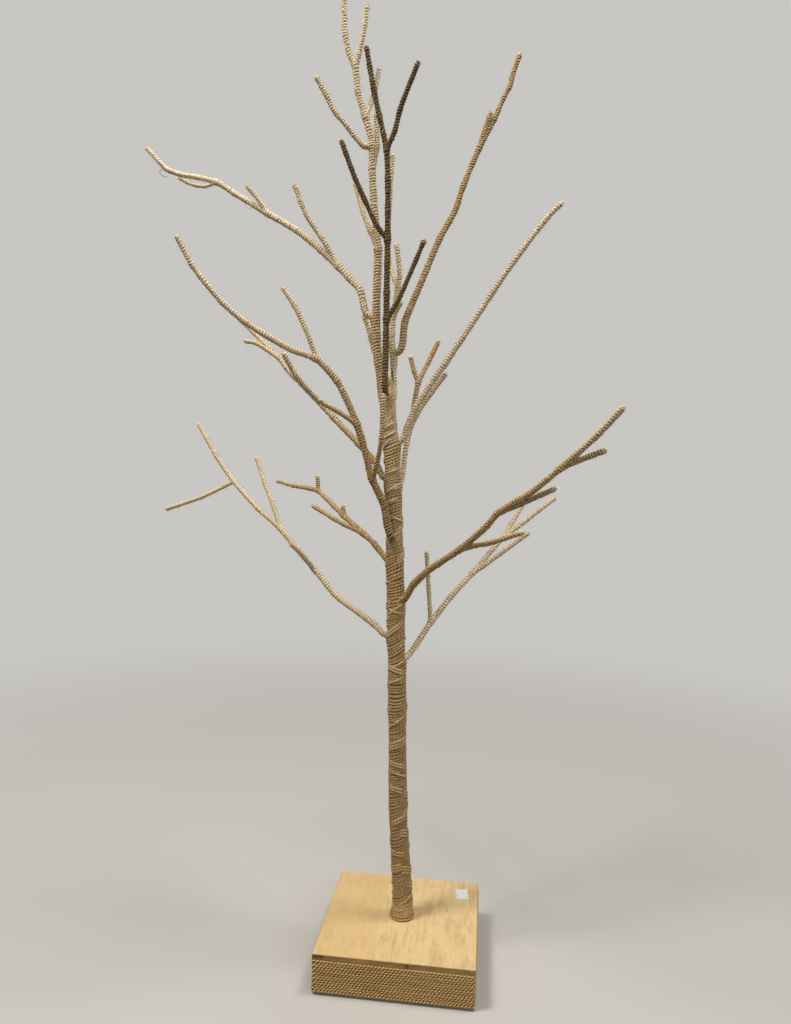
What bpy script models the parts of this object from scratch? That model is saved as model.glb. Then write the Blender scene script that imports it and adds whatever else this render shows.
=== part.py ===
"""Tabletop twig tree: a jute-bound trunk and bendable limbs on a square, twine-wound wooden base.

Metres, +Z up. The origin is the centre of the base's underside and the front of the base faces -Y.
"""

import math
from typing import NamedTuple

import bmesh
import bpy
from mathutils import Matrix, Vector

# Base box
BASE_SIDE = 0.190
BASE_HEIGHT = 0.049
PAD_T = 0.002
PAD_INSET = 0.005
BOTTOM_T = 0.009
TOP_T = 0.007
SIDE_T = 0.008
PLANK_SEAM_X = -0.0245
PLANK_EDGE_ROUND = 0.0006
WINDING_T = 0.0030
WINDING_PROUD = 0.0010

# Ballast, bolt and screws
BALLAST_GAP = 0.0097
BALLAST_HEADROOM = 0.0044
BALLAST_ROUND = 0.002
BOLT_R = 0.004
BOLT_HEAD_R = 0.0075
BOLT_HEAD_H = 0.0040
BOLT_REACH = 0.035
WASHER_R = 0.0095
WASHER_T = 0.0012
SCREW_R = 0.0015
SCREW_HEAD_R = 0.0030
SCREW_LENGTH = 0.0200
SCREW_SPREAD_Y = 0.060

# Trunk
TRUNK_LENGTH = 0.660
TRUNK_ROOT_R = 0.0125
TRUNK_TOP_R = 0.0098
CORE_R = 0.0070
LEADER_OFFSET = 0.006
TRUNK_SWAY = (
    (0.00, 0.000),
    (0.03, 0.000),
    (0.20, 0.009),
    (0.40, 0.014),
    (0.60, 0.020),
    (0.75, 0.025),
    (0.87, 0.030),
    (1.00, 0.039),
)
FOOT_COIL_FLARE = 0.0030
FOOT_COIL_H = 0.012
FOOT_COIL_TURNS = 4
FOOT_COIL_START = 0.55
COIL_CROWN = 0.22
COIL_GROOVE = 0.25

# Limbs
WIRE_R = 0.0012
TWIG_R = 0.0033
TIP_COVER = 0.006
BORE_LEAD = 0.0006
END_ROUND = 0.0025
END_TAPER = 0.6

# Gaps
CLEAR = 0.0003
BEND_GAP = 0.0006
STEM_SEAT = 0.0010

BODY_SIDES = 8
WIRE_SIDES = 6
TRUNK_SIDES = 12
TURNED_STEPS = 20
SCREW_STEPS = 12
SHARP_ANGLE = 40.0
MERGE = 0.00001

# Finishes: colour, roughness, metallic
JUTE = ((0.47, 0.33, 0.19), 0.95, 0.0)
WOOD = ((0.62, 0.44, 0.27), 0.65, 0.0)
EDGE_WOOD = ((0.45, 0.29, 0.17), 0.70, 0.0)
STEEL = ((0.55, 0.55, 0.55), 0.35, 1.0)
FELT = ((0.05, 0.05, 0.05), 0.95, 0.0)
PLASTER = ((0.60, 0.58, 0.55), 0.90, 0.0)


class Twig(NamedTuple):
    """A side twig: the run point that it grows from, its compass heading and its (out, up) points."""

    fork: int
    heading: float
    run: tuple


class Limb(NamedTuple):
    """A limb as it is bent by hand.

    grip tells where it is bound on: a share of the trunk's length, or a height above the bearer's own
    root if another limb bears it. facing is the side that it is bound to. heading is the compass
    direction of its plane (0 is +X, 90 is +Y) and lean tips that plane sideways as it rises. run is a
    list of (out, up) points from the root.
    """

    bearer: str
    grip: float
    facing: float
    heading: float
    lean: float
    root_r: float
    run: tuple
    twigs: tuple


LIMBS = {
    "leader": Limb("trunk_top", 1.0, 180, 180, 0.0, 0.0062, (
        (0.008, 0.055), (0.010, 0.095), (0.010, 0.170), (0.015, 0.210), (0.020, 0.265),
        (0.020, 0.290), (0.030, 0.325), (0.040, 0.355), (0.044, 0.384), (0.051, 0.398),
        (0.057, 0.422), (0.060, 0.480),
    ), (
        Twig(3, 150, ((0.014, 0.024), (0.025, 0.047), (0.039, 0.085))),
        Twig(5, 30, ((0.006, 0.025), (0.002, 0.065))),
        Twig(6, 190, ((0.010, 0.000), (0.032, 0.023), (0.047, 0.039), (0.057, 0.057), (0.070, 0.078))),
        Twig(7, 60, ((0.015, 0.030), (0.024, 0.067))),
        Twig(9, 0, ((0.004, 0.013), (0.011, 0.051), (0.012, 0.071))),
    )),
    "back_stem": Limb("trunk", 0.985, 70, 0, 0.10, 0.0045, (
        (-0.004, 0.070), (-0.004, 0.105), (0.000, 0.140), (0.002, 0.155), (-0.004, 0.195),
    ), (
        Twig(2, -45, ((0.016, 0.015),)),
        Twig(3, 120, ((0.012, 0.014), (0.029, 0.034), (0.036, 0.058), (0.036, 0.099), (0.030, 0.173))),
    )),
    "front_high": Limb("trunk", 0.995, 268, 0, -0.10, 0.0045, (
        (0.000, 0.050), (0.000, 0.085), (0.000, 0.115), (0.000, 0.175), (-0.001, 0.245),
        (-0.003, 0.274), (-0.012, 0.311), (-0.019, 0.340), (-0.028, 0.385),
    ), (
        Twig(2, -10, ((0.007, 0.010), (0.015, 0.024), (0.034, 0.067), (0.044, 0.091))),
        Twig(4, 200, ((0.014, 0.016), (0.028, 0.042), (0.040, 0.065), (0.058, 0.107))),
        Twig(6, -30, ((0.011, 0.018), (0.018, 0.041), (0.042, 0.088))),
    )),
    "right_high": Limb("back_stem", 0.061, 0, 30, 0.0, 0.0048, (
        (0.005, 0.035), (0.025, 0.085), (0.050, 0.145), (0.070, 0.182), (0.080, 0.213),
        (0.101, 0.264), (0.121, 0.303), (0.134, 0.333), (0.143, 0.351), (0.147, 0.367),
        (0.156, 0.393),
    ), (
        Twig(6, 30, ((0.005, 0.018), (0.010, 0.033), (0.015, 0.048))),
    )),
    "left_high": Limb("leader", 0.091, 180, 170, 0.0, 0.0048, (
        (0.010, 0.030), (0.025, 0.045), (0.040, 0.060), (0.075, 0.090), (0.095, 0.105),
        (0.135, 0.128), (0.182, 0.156), (0.208, 0.172), (0.236, 0.180), (0.262, 0.186),
        (0.280, 0.193), (0.313, 0.224),
    ), (
        Twig(3, 190, ((0.015, 0.025), (0.040, 0.060), (0.055, 0.095))),
        Twig(6, 185, ((0.015, 0.020), (0.028, 0.034))),
        Twig(8, 170, ((0.017, -0.004), (0.030, -0.002), (0.043, 0.003), (0.056, 0.010))),
    )),
    "left_short": Limb("leader", 0.048, 120, 150, 0.0, 0.0038, (
        (0.006, 0.018), (0.018, 0.045),
    ), ()),
    "right_mid": Limb("trunk", 0.910, 0, -3, 0.0, 0.0046, (
        (0.005, 0.015), (0.015, 0.040), (0.049, 0.093), (0.077, 0.136), (0.100, 0.173),
        (0.125, 0.211), (0.165, 0.265), (0.180, 0.280),
    ), ()),
    "back_left": Limb("trunk", 0.840, 150, 150, 0.0, 0.0044, (
        (0.010, 0.015), (0.040, 0.040), (0.085, 0.075), (0.130, 0.110), (0.170, 0.141),
        (0.185, 0.156), (0.225, 0.186), (0.270, 0.219),
    ), (
        Twig(6, 165, ((0.020, 0.012), (0.036, 0.021), (0.056, 0.025))),
    )),
    "right_mid_back": Limb("trunk", 0.810, 70, 65, 0.0, 0.0040, (
        (0.008, 0.025), (0.015, 0.060), (0.025, 0.085), (0.040, 0.140), (0.065, 0.170),
        (0.090, 0.200),
    ), (
        Twig(3, 35, ((0.015, 0.025), (0.030, 0.045), (0.050, 0.070))),
        Twig(4, 150, ((0.008, 0.018), (0.014, 0.036))),
    )),
    "front_left": Limb("trunk", 0.730, 262, 192, 0.0, 0.0052, (
        (0.005, 0.015), (0.010, 0.040), (0.025, 0.070), (0.035, 0.105), (0.045, 0.135),
        (0.070, 0.185), (0.095, 0.210), (0.125, 0.220), (0.180, 0.250), (0.205, 0.270),
        (0.240, 0.310), (0.260, 0.345),
    ), (
        Twig(3, -60, ((0.015, 0.020), (0.025, 0.045), (0.028, 0.100))),
        Twig(5, 200, ((0.025, 0.015), (0.045, 0.025), (0.075, 0.055), (0.090, 0.080))),
        Twig(7, 175, ((0.010, 0.025), (0.030, 0.065), (0.045, 0.085))),
    )),
    "left_low_back": Limb("trunk", 0.680, 130, 132, 0.0, 0.0042, (
        (0.035, 0.020), (0.060, 0.030), (0.110, 0.050), (0.155, 0.070), (0.180, 0.080),
        (0.255, 0.085), (0.310, 0.090),
    ), (
        Twig(2, 140, ((0.045, 0.010), (0.110, 0.030))),
        Twig(3, 120, ((0.002, 0.014),)),
        Twig(5, 120, ((0.005, 0.022),)),
    )),
    "right_low_front": Limb("trunk", 0.615, -42, -42, 0.0, 0.0048, (
        (0.015, 0.020), (0.040, 0.040), (0.090, 0.070), (0.130, 0.100), (0.145, 0.115),
        (0.190, 0.140), (0.225, 0.165), (0.266, 0.197), (0.295, 0.224),
    ), (
        Twig(3, -20, ((0.015, 0.005), (0.035, 0.010), (0.075, 0.025))),
        Twig(5, -35, ((0.025, 0.010), (0.070, 0.030))),
        Twig(7, -30, ((0.018, 0.008), (0.031, 0.013), (0.047, 0.019))),
    )),
    "left_low": Limb("trunk", 0.545, 180, 155, 0.0, 0.0044, (
        (0.015, 0.010), (0.075, 0.040), (0.110, 0.070), (0.140, 0.095), (0.170, 0.120),
        (0.210, 0.145), (0.255, 0.180), (0.285, 0.210), (0.325, 0.260),
    ), (
        Twig(3, 230, ((0.020, 0.020), (0.040, 0.036))),
        Twig(5, 140, ((0.020, 0.035), (0.035, 0.055), (0.060, 0.095))),
        Twig(7, 170, ((0.020, -0.010), (0.050, -0.024), (0.108, -0.044))),
    )),
    "right_low_back": Limb("trunk", 0.500, 40, 40, 0.0, 0.0042, (
        (0.035, 0.040), (0.070, 0.075), (0.100, 0.100), (0.150, 0.145), (0.185, 0.165),
        (0.245, 0.200),
    ), (
        Twig(1, 150, ((0.004, 0.035), (0.010, 0.090))),
        Twig(3, 15, ((0.015, 0.010), (0.035, 0.025), (0.075, 0.055))),
        Twig(4, 60, ((0.025, 0.020), (0.055, 0.045))),
    )),
}


def clear_scene():
    for item in list(bpy.data.objects):
        bpy.data.objects.remove(item, do_unlink=True)


def collection(name):
    group = bpy.data.collections.new(name)
    bpy.context.scene.collection.children.link(group)
    return group


def finish(name, values):
    colour, roughness, metallic = values
    material = bpy.data.materials.new(name)
    material.use_nodes = True
    shader = material.node_tree.nodes["Principled BSDF"]
    shader.inputs["Base Color"].default_value = (*colour, 1.0)
    shader.inputs["Roughness"].default_value = roughness
    shader.inputs["Metallic"].default_value = metallic
    return material


def place(name, mesh, location, material=None):
    """Link a mesh as a named object, in its finish."""
    item = bpy.data.objects.new(name, mesh)
    item.location = location
    if material is not None:
        mesh.materials.append(material)
    tree.objects.link(item)
    return item


def use_as_tool(target, tool, operation):
    """Cut a tool out of the target, or join it on, and put the tool away with the cutters."""
    change = target.modifiers.new(tool.name, "BOOLEAN")
    change.operation = operation
    change.solver = "EXACT"
    change.object = tool
    tool.hide_render = True
    tool.display_type = "WIRE"
    tree.objects.unlink(tool)
    cutters.objects.link(tool)


def box(name, low, high, material=None, rounding=0.0):
    low = Vector(low)
    high = Vector(high)
    size = high - low
    mesh = bpy.data.meshes.new(name)
    cage = bmesh.new()
    bmesh.ops.create_cube(cage, size=1.0, matrix=Matrix.Diagonal((*size, 1.0)))
    cage.to_mesh(mesh)
    cage.free()
    item = place(name, mesh, (low + high) / 2, material)
    if rounding > 0.0:
        bevel = item.modifiers.new("edges", "BEVEL")
        bevel.width = rounding
        bevel.segments = 1
    return item


def cylinder(name, radius, low, high, centre=(0.0, 0.0), material=None, sides=TURNED_STEPS):
    """An upright round or many-sided bar between two heights."""
    mesh = bpy.data.meshes.new(name)
    cage = bmesh.new()
    bmesh.ops.create_cone(
        cage, cap_ends=True, segments=sides, radius1=radius, radius2=radius, depth=high - low
    )
    cage.to_mesh(mesh)
    cage.free()
    item = place(name, mesh, (*centre, (low + high) / 2), material)
    shade(item)
    return item


def shade(item):
    item.data.shade_smooth()
    item.data.set_sharp_from_angle(angle=math.radians(SHARP_ANGLE))


def turned(name, profile, centre, material, steps=TURNED_STEPS):
    """Turn an (r, z) profile, listed down its outer side, about an upright axis."""
    mesh = bpy.data.meshes.new(name)
    points = [(r, 0.0, z) for r, z in profile]
    edges = [(i, i + 1) for i in range(len(points) - 1)]
    if profile[0][0] > 0.0:
        edges.append((len(points) - 1, 0))
    mesh.from_pydata(points, edges, [])
    item = place(name, mesh, centre, material)
    screw = item.modifiers.new("turn", "SCREW")
    screw.steps = steps
    screw.render_steps = steps
    screw.use_merge_vertices = True
    screw.merge_threshold = MERGE
    screw.use_smooth_shade = True
    return item


def tube(name, points, radii, sides, location=(0.0, 0.0, 0.0), material=None):
    """A closed tube of varying radius, drawn as a bevelled curve and kept as a mesh."""
    curve = bpy.data.curves.new(name, "CURVE")
    curve.dimensions = "3D"
    curve.bevel_depth = 1.0
    curve.bevel_resolution = sides // 2 - 2
    curve.use_fill_caps = True
    spline = curve.splines.new("POLY")
    spline.points.add(len(points) - 1)
    for knot, point, radius in zip(spline.points, points, radii):
        knot.co = (*point, 1.0)
        knot.radius = radius
    drawn = bpy.data.objects.new(name + "_curve", curve)
    drawn.location = location
    tree.objects.link(drawn)
    bpy.context.view_layer.update()
    seen = drawn.evaluated_get(bpy.context.evaluated_depsgraph_get())
    mesh = bpy.data.meshes.new_from_object(seen)
    cage = bmesh.new()
    cage.from_mesh(mesh)
    bmesh.ops.remove_doubles(cage, verts=cage.verts, dist=MERGE)
    bmesh.ops.recalc_face_normals(cage, faces=cage.faces)
    cage.to_mesh(mesh)
    cage.free()
    mesh.name = name
    mesh.materials.clear()
    item = bpy.data.objects.new(name, mesh)
    item.matrix_world = drawn.matrix_world
    if material is not None:
        mesh.materials.append(material)
    tree.objects.link(item)
    bpy.data.objects.remove(drawn, do_unlink=True)
    bpy.data.curves.remove(curve)
    shade(item)
    return item


def compass(heading, out):
    angle = math.radians(heading)
    return Vector((math.cos(angle), math.sin(angle), 0.0)) * out


def bent_run(start, heading, lean, run):
    """Points of a run from its start, in the upright plane of its heading."""
    aside = compass(heading + 90.0, 1.0)
    points = [start.copy()]
    for out, up in run:
        points.append(start + compass(heading, out) + aside * (lean * up) + Vector((0.0, 0.0, up)))
    return points


def lengths(points):
    total = [0.0]
    for a, b in zip(points, points[1:]):
        total.append(total[-1] + (b - a).length)
    return total


def tapered(points, thick, thin):
    """A radius at each point, falling evenly along the run."""
    along = lengths(points)
    return [thick + (thin - thick) * s / along[-1] for s in along]


def shortened(points, cut):
    """The same run, ended earlier by a cut that is shorter than its last stretch."""
    last = points[-1] - points[-2]
    return points[:-1] + [points[-1] - last.normalized() * cut]


def started(points, step, radii, factor):
    """Narrow a run's first ring and bring it to full girth a short step on."""
    ahead = points[0] + (points[1] - points[0]).normalized() * step
    return [points[0], ahead] + points[1:], [radii[0] * factor] + radii


def ended(points, step, radii, factor):
    back = points[-1] + (points[-2] - points[-1]).normalized() * step
    return points[:-1] + [back, points[-1]], radii + [radii[-1] * factor]


def trunk_axis(share):
    """A point of the trunk's centre line, at a share of its length."""
    height = BASE_HEIGHT + TRUNK_LENGTH * share
    for (low, a), (high, b) in zip(TRUNK_SWAY, TRUNK_SWAY[1:]):
        if share <= high:
            sway = a + (b - a) * (share - low) / (high - low)
            break
    return Vector((-sway, 0.0, height))


def trunk_radius(share):
    return TRUNK_ROOT_R + (TRUNK_TOP_R - TRUNK_ROOT_R) * share


def point_at_rise(points, rise):
    """The point of a run at a height above its start."""
    for a, b in zip(points, points[1:]):
        if b.z - points[0].z >= rise:
            share = (rise - (a.z - points[0].z)) / (b.z - a.z)
            return a + (b - a) * share
    return points[-1]


def limb_root(limb):
    """Where a limb's centre line starts, clear of what bears it."""
    if limb.bearer == "trunk_top":
        return trunk_axis(1.0) + compass(limb.facing, LEADER_OFFSET) + Vector((0.0, 0.0, STEM_SEAT))
    if limb.bearer == "trunk":
        centre = trunk_axis(limb.grip)
        reach = trunk_radius(limb.grip)
    else:
        bearer = LIMBS[limb.bearer]
        points = bent_run(limb_root(bearer), bearer.heading, bearer.lean, bearer.run)
        centre = point_at_rise(points, limb.grip)
        reach = bearer.root_r
    return centre + compass(limb.facing, reach + limb.root_r + BEND_GAP)


def limb_runs(limb):
    """The main run and the twigs' runs, from the limb's own root, with their radii."""
    main = bent_run(Vector((0.0, 0.0, 0.0)), limb.heading, limb.lean, limb.run)
    girth = tapered(main, limb.root_r, TWIG_R)
    runs = [(main, girth)]
    for twig in limb.twigs:
        points = bent_run(main[twig.fork], twig.heading, 0.0, twig.run)
        runs.append((points, tapered(points, girth[twig.fork], TWIG_R)))
    return runs


def joined_tubes(name, runs, sides, location, material=None):
    """One solid from a main run and its twigs."""
    points, radii = runs[0]
    body = tube(name, points, radii, sides, location, material)
    for number, (points, radii) in enumerate(runs[1:], start=1):
        twig = tube(f"{name}_fork_{number}", points, radii, sides, location)
        use_as_tool(body, twig, "UNION")
    return body


def wrapping(runs):
    """Rounded ends for the jute over a limb."""
    shaped = []
    for points, radii in runs:
        points, radii = started(points, END_ROUND, radii, END_TAPER)
        shaped.append(ended(points, END_ROUND, radii, END_TAPER))
    return shaped


def wire_runs(runs, radius, tip_cut, root_shift):
    """The same runs as plain wire: the main one moved at its root, the twigs joined inside it."""
    shaped = []
    for number, (points, _) in enumerate(runs):
        points = shortened(points, tip_cut)
        if number == 0:
            points = [points[0] + (points[1] - points[0]).normalized() * root_shift] + points[1:]
            shaped.append((points, [radius] * len(points)))
        else:
            shaped.append(started(points, 2.0 * radius, [radius] * len(points), END_TAPER))
    return shaped


def make_limb(name, limb):
    """A limb's wire and the jute bound round it, with their origins at its root."""
    root = limb_root(limb)
    runs = limb_runs(limb)
    wrap = joined_tubes(name + "_wrap", wrapping(runs), BODY_SIDES, root, jute)
    bore_cut = TIP_COVER - CLEAR
    for number, run in enumerate(wire_runs(runs, WIRE_R + CLEAR, bore_cut, -BORE_LEAD)):
        bore = tube(f"{name}_bore_{number}", *run, WIRE_SIDES, root)
        use_as_tool(wrap, bore, "DIFFERENCE")
    joined_tubes(name + "_wire", wire_runs(runs, WIRE_R, TIP_COVER, CLEAR), WIRE_SIDES, root, steel)


def make_trunk():
    """The bundle of limb wires and the jute wound round it."""
    shares = [share for share, _ in TRUNK_SWAY]
    points = [trunk_axis(share) for share in shares]
    points[0].z += CLEAR
    radii = [trunk_radius(share) for share in shares]
    wrap = tube("trunk_wrap", points, radii, TRUNK_SIDES, material=jute)
    longer = [points[0] - Vector((0.0, 0.0, BORE_LEAD))] + points[1:]
    longer[-1] = longer[-1] + (points[-1] - points[-2]).normalized() * BORE_LEAD
    bore = tube("trunk_bore", longer, [CORE_R + CLEAR] * len(points), TRUNK_SIDES)
    use_as_tool(wrap, bore, "DIFFERENCE")
    inner = [points[0]] + points[1:-1] + [points[-1] - (points[-1] - points[-2]).normalized() * CLEAR]
    core = tube("trunk_core", inner, [CORE_R] * len(points), TRUNK_SIDES, material=steel)
    socket_top = BASE_HEIGHT + BOLT_SOCKET
    socket = cylinder("bolt_socket", BOLT_R + CLEAR, BASE_HEIGHT - CLEAR, socket_top)
    use_as_tool(core, socket, "DIFFERENCE")


def make_foot_coil():
    """The turns of twine that flare out round the trunk's foot."""
    inner = TRUNK_ROOT_R + CLEAR
    low = BASE_HEIGHT + CLEAR
    pitch = FOOT_COIL_H / FOOT_COIL_TURNS
    profile = [(inner, low + FOOT_COIL_H)]
    for turn in range(FOOT_COIL_TURNS):
        middle = low + FOOT_COIL_H - pitch * (turn + 0.5)
        flare = FOOT_COIL_START + (1.0 - FOOT_COIL_START) * (turn + 1) / FOOT_COIL_TURNS
        bulge = inner + FOOT_COIL_FLARE * flare
        profile.append((bulge, middle + pitch * COIL_CROWN))
        profile.append((bulge, middle - pitch * COIL_CROWN))
        if turn < FOOT_COIL_TURNS - 1:
            profile.append((bulge - pitch * COIL_GROOVE, middle - pitch / 2))
    profile.append((inner, low))
    turned("foot_coil", profile, (0.0, 0.0, 0.0), jute)


def make_base_box():
    """Two top planks, four sides, a bottom and a felt pad."""
    half = BASE_SIDE / 2
    top_low = BASE_HEIGHT - TOP_T
    bolt_hole = BOLT_R + CLEAR
    planks = (
        ("top_plank_left", -half, PLANK_SEAM_X - CLEAR / 2),
        ("top_plank_right", PLANK_SEAM_X + CLEAR / 2, half),
    )
    for name, left, right in planks:
        plank = box(name, (left, -half, top_low), (right, half, BASE_HEIGHT), wood, PLANK_EDGE_ROUND)
        if left < 0.0 < right:
            hole = cylinder("plank_hole", bolt_hole, top_low - CLEAR, BASE_HEIGHT + CLEAR)
            use_as_tool(plank, hole, "DIFFERENCE")
    side_low = BOTTOM_TOP + CLEAR
    side_high = top_low - CLEAR
    out = SIDE_OUT
    inside = out - SIDE_T
    sides = (
        ("side_board_left", (-out, -out), (-inside, out)),
        ("side_board_right", (inside, -out), (out, out)),
        ("side_board_front", (-inside + CLEAR, -out), (inside - CLEAR, -inside)),
        ("side_board_back", (-inside + CLEAR, inside), (inside - CLEAR, out)),
    )
    for name, low, high in sides:
        board = box(name, (*low, side_low), (*high, side_high), edge_wood)
        for number, spot in enumerate(SCREW_SPOTS):
            if low[0] < spot[0] < high[0]:
                pilot_top = SCREW_SEAT + SCREW_LENGTH + CLEAR
                pilot = cylinder(
                    f"{name}_pilot_{number}", SCREW_R + CLEAR, side_low - CLEAR, pilot_top, spot,
                    sides=SCREW_STEPS,
                )
                use_as_tool(board, pilot, "DIFFERENCE")
    bottom = box("bottom_board", (-out, -out, BOTTOM_LOW), (out, out, BOTTOM_TOP), edge_wood)
    well_top = BOTTOM_LOW + BOLT_HEAD_H + WASHER_T + 3.0 * CLEAR
    well = cylinder("bolt_well", WASHER_R + CLEAR, BOTTOM_LOW - CLEAR, well_top)
    use_as_tool(bottom, well, "DIFFERENCE")
    through = cylinder("bottom_hole", bolt_hole, BOTTOM_LOW, BOTTOM_TOP + CLEAR)
    use_as_tool(bottom, through, "DIFFERENCE")
    for number, spot in enumerate(SCREW_SPOTS):
        sink = turned(
            f"screw_sink_{number}", screw_profile(CLEAR), (*spot, SCREW_SEAT), None, SCREW_STEPS
        )
        use_as_tool(bottom, sink, "DIFFERENCE")
    pad = half - PAD_INSET
    box("felt_pad", (-pad, -pad, 0.0), (pad, pad, PAD_T), felt)


def screw_profile(extra):
    """Half of a countersunk wood screw, head down, as (r, z); extra widens it for its own hole."""
    head = SCREW_HEAD_R + extra
    shank = SCREW_R + extra
    cone = SCREW_HEAD_R - SCREW_R
    top = SCREW_LENGTH + extra
    return [(0.0, top), (shank, top - shank), (shank, cone), (head, 0.0), (head, -extra), (0.0, -extra)]


def make_winding():
    """The twine wound round the box, as one square sleeve."""
    outer = SIDE_OUT + CLEAR + WINDING_T
    inner = SIDE_OUT + CLEAR
    low = BOTTOM_LOW
    high = BASE_HEIGHT - TOP_T - CLEAR
    sleeve = box("base_winding", (-outer, -outer, low), (outer, outer, high), jute)
    corner = sleeve.modifiers.new("corners", "BEVEL")
    corner.width = WINDING_T
    corner.segments = 2
    corner.limit_method = "WEIGHT"
    weights = sleeve.data.attributes.new("bevel_weight_edge", "FLOAT", "EDGE")
    for edge in sleeve.data.edges:
        a, b = (sleeve.data.vertices[i].co for i in edge.vertices)
        upright = abs(a.z - b.z) > abs(a.x - b.x) + abs(a.y - b.y)
        weights.data[edge.index].value = 1.0 if upright else 0.0
    space = box("winding_space", (-inner, -inner, low - CLEAR), (inner, inner, high + CLEAR))
    use_as_tool(sleeve, space, "DIFFERENCE")


def make_ballast():
    """A cast block that fills most of the space inside the box."""
    half = SIDE_OUT - SIDE_T - BALLAST_GAP
    low = BOTTOM_TOP + CLEAR
    high = BASE_HEIGHT - TOP_T - BALLAST_HEADROOM
    block = box("ballast_block", (-half, -half, low), (half, half, high), plaster, BALLAST_ROUND)
    hole = cylinder("ballast_hole", BOLT_R + CLEAR, low - CLEAR, high + CLEAR)
    use_as_tool(block, hole, "DIFFERENCE")


def make_fixings():
    """The long bolt up into the trunk, its washer and the four screws of the bottom board."""
    head_low = BOTTOM_LOW + CLEAR
    head_top = head_low + BOLT_HEAD_H
    bolt_top = BASE_HEIGHT + BOLT_REACH
    bolt = cylinder("trunk_bolt", BOLT_HEAD_R, head_low, head_top, material=steel, sides=6)
    shank = cylinder("bolt_shank", BOLT_R, head_low + CLEAR, bolt_top)
    use_as_tool(bolt, shank, "UNION")
    seat = head_top + CLEAR
    washer = cylinder("bolt_washer", WASHER_R, seat, seat + WASHER_T, material=steel)
    eye = cylinder("washer_eye", BOLT_R + CLEAR, seat - CLEAR, seat + WASHER_T + CLEAR)
    use_as_tool(washer, eye, "DIFFERENCE")
    for number, spot in enumerate(SCREW_SPOTS, start=1):
        turned(f"bottom_screw_{number}", screw_profile(0.0), (*spot, SCREW_SEAT), steel, SCREW_STEPS)


# Places that several pieces share
BOTTOM_LOW = PAD_T + CLEAR
BOTTOM_TOP = BOTTOM_LOW + BOTTOM_T
SIDE_OUT = BASE_SIDE / 2 + WINDING_PROUD - WINDING_T - CLEAR
SCREW_SEAT = BOTTOM_LOW + CLEAR
SCREW_X = SIDE_OUT - SIDE_T / 2
SCREW_SPOTS = tuple((x, y) for x in (-SCREW_X, SCREW_X) for y in (-SCREW_SPREAD_Y, SCREW_SPREAD_Y))
BOLT_SOCKET = BOLT_REACH + CLEAR

clear_scene()
tree = collection("tabletop_tree")
cutters = collection("cutters")
jute = finish("jute", JUTE)
wood = finish("blond_wood", WOOD)
edge_wood = finish("box_wood", EDGE_WOOD)
steel = finish("steel", STEEL)
felt = finish("felt", FELT)
plaster = finish("plaster", PLASTER)

make_base_box()
make_winding()
make_ballast()
make_fixings()
make_trunk()
make_foot_coil()
for limb_name, limb_plan in LIMBS.items():
    make_limb(limb_name, limb_plan)
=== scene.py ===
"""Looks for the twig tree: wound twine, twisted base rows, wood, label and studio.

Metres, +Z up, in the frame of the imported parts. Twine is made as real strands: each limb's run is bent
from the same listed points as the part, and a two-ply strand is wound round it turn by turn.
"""

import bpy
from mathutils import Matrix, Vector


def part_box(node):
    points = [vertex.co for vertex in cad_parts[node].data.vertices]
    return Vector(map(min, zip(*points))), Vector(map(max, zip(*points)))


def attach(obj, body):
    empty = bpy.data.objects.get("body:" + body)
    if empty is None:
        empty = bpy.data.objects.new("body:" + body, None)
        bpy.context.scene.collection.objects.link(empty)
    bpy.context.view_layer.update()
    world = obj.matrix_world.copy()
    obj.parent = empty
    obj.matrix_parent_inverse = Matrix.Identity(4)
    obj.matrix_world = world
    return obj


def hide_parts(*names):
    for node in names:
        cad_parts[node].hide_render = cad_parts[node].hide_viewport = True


bl_info = {
    "name": "Twig Tree Looks",
    "version": (1, 0, 0),
    "blender": (4, 5, 0),
    "location": "View3D > Sidebar > Twig Tree",
    "description": "Winds twine round a tabletop twig tree and finishes its wooden base",
    "category": "Object",
}

import math
from typing import NamedTuple

import bpy
import numpy as np
from bpy.props import FloatProperty, FloatVectorProperty, IntProperty, PointerProperty
from mathutils import Matrix, Vector

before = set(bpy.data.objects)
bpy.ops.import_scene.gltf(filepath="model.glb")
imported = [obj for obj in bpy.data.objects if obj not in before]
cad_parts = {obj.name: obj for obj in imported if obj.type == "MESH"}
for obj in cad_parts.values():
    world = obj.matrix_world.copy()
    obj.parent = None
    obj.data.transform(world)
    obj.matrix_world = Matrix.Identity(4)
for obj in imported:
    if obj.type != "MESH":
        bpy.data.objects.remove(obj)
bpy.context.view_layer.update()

PLANK_LOW, PLANK_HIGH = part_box("top_plank_right")
SLEEVE_LOW, SLEEVE_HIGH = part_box("base_winding")
BOX_LOW, BOX_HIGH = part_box("side_board_left")
COIL_LOW, COIL_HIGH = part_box("foot_coil")
BASE_TOP = PLANK_HIGH.z
BASE_HALF = PLANK_HIGH.x
SEAM_X = PLANK_LOW.x

# Trunk, as in the part
TRUNK_LENGTH = 0.660
TRUNK_ROOT_R = 0.0125
TRUNK_TOP_R = 0.0098
LEADER_OFFSET = 0.006
TRUNK_SWAY = (
    (0.00, 0.000),
    (0.03, 0.000),
    (0.20, 0.009),
    (0.40, 0.014),
    (0.60, 0.020),
    (0.75, 0.025),
    (0.87, 0.030),
    (1.00, 0.039),
)
TWIG_R = 0.0033
BEND_GAP = 0.0006
STEM_SEAT = 0.0010

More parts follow.
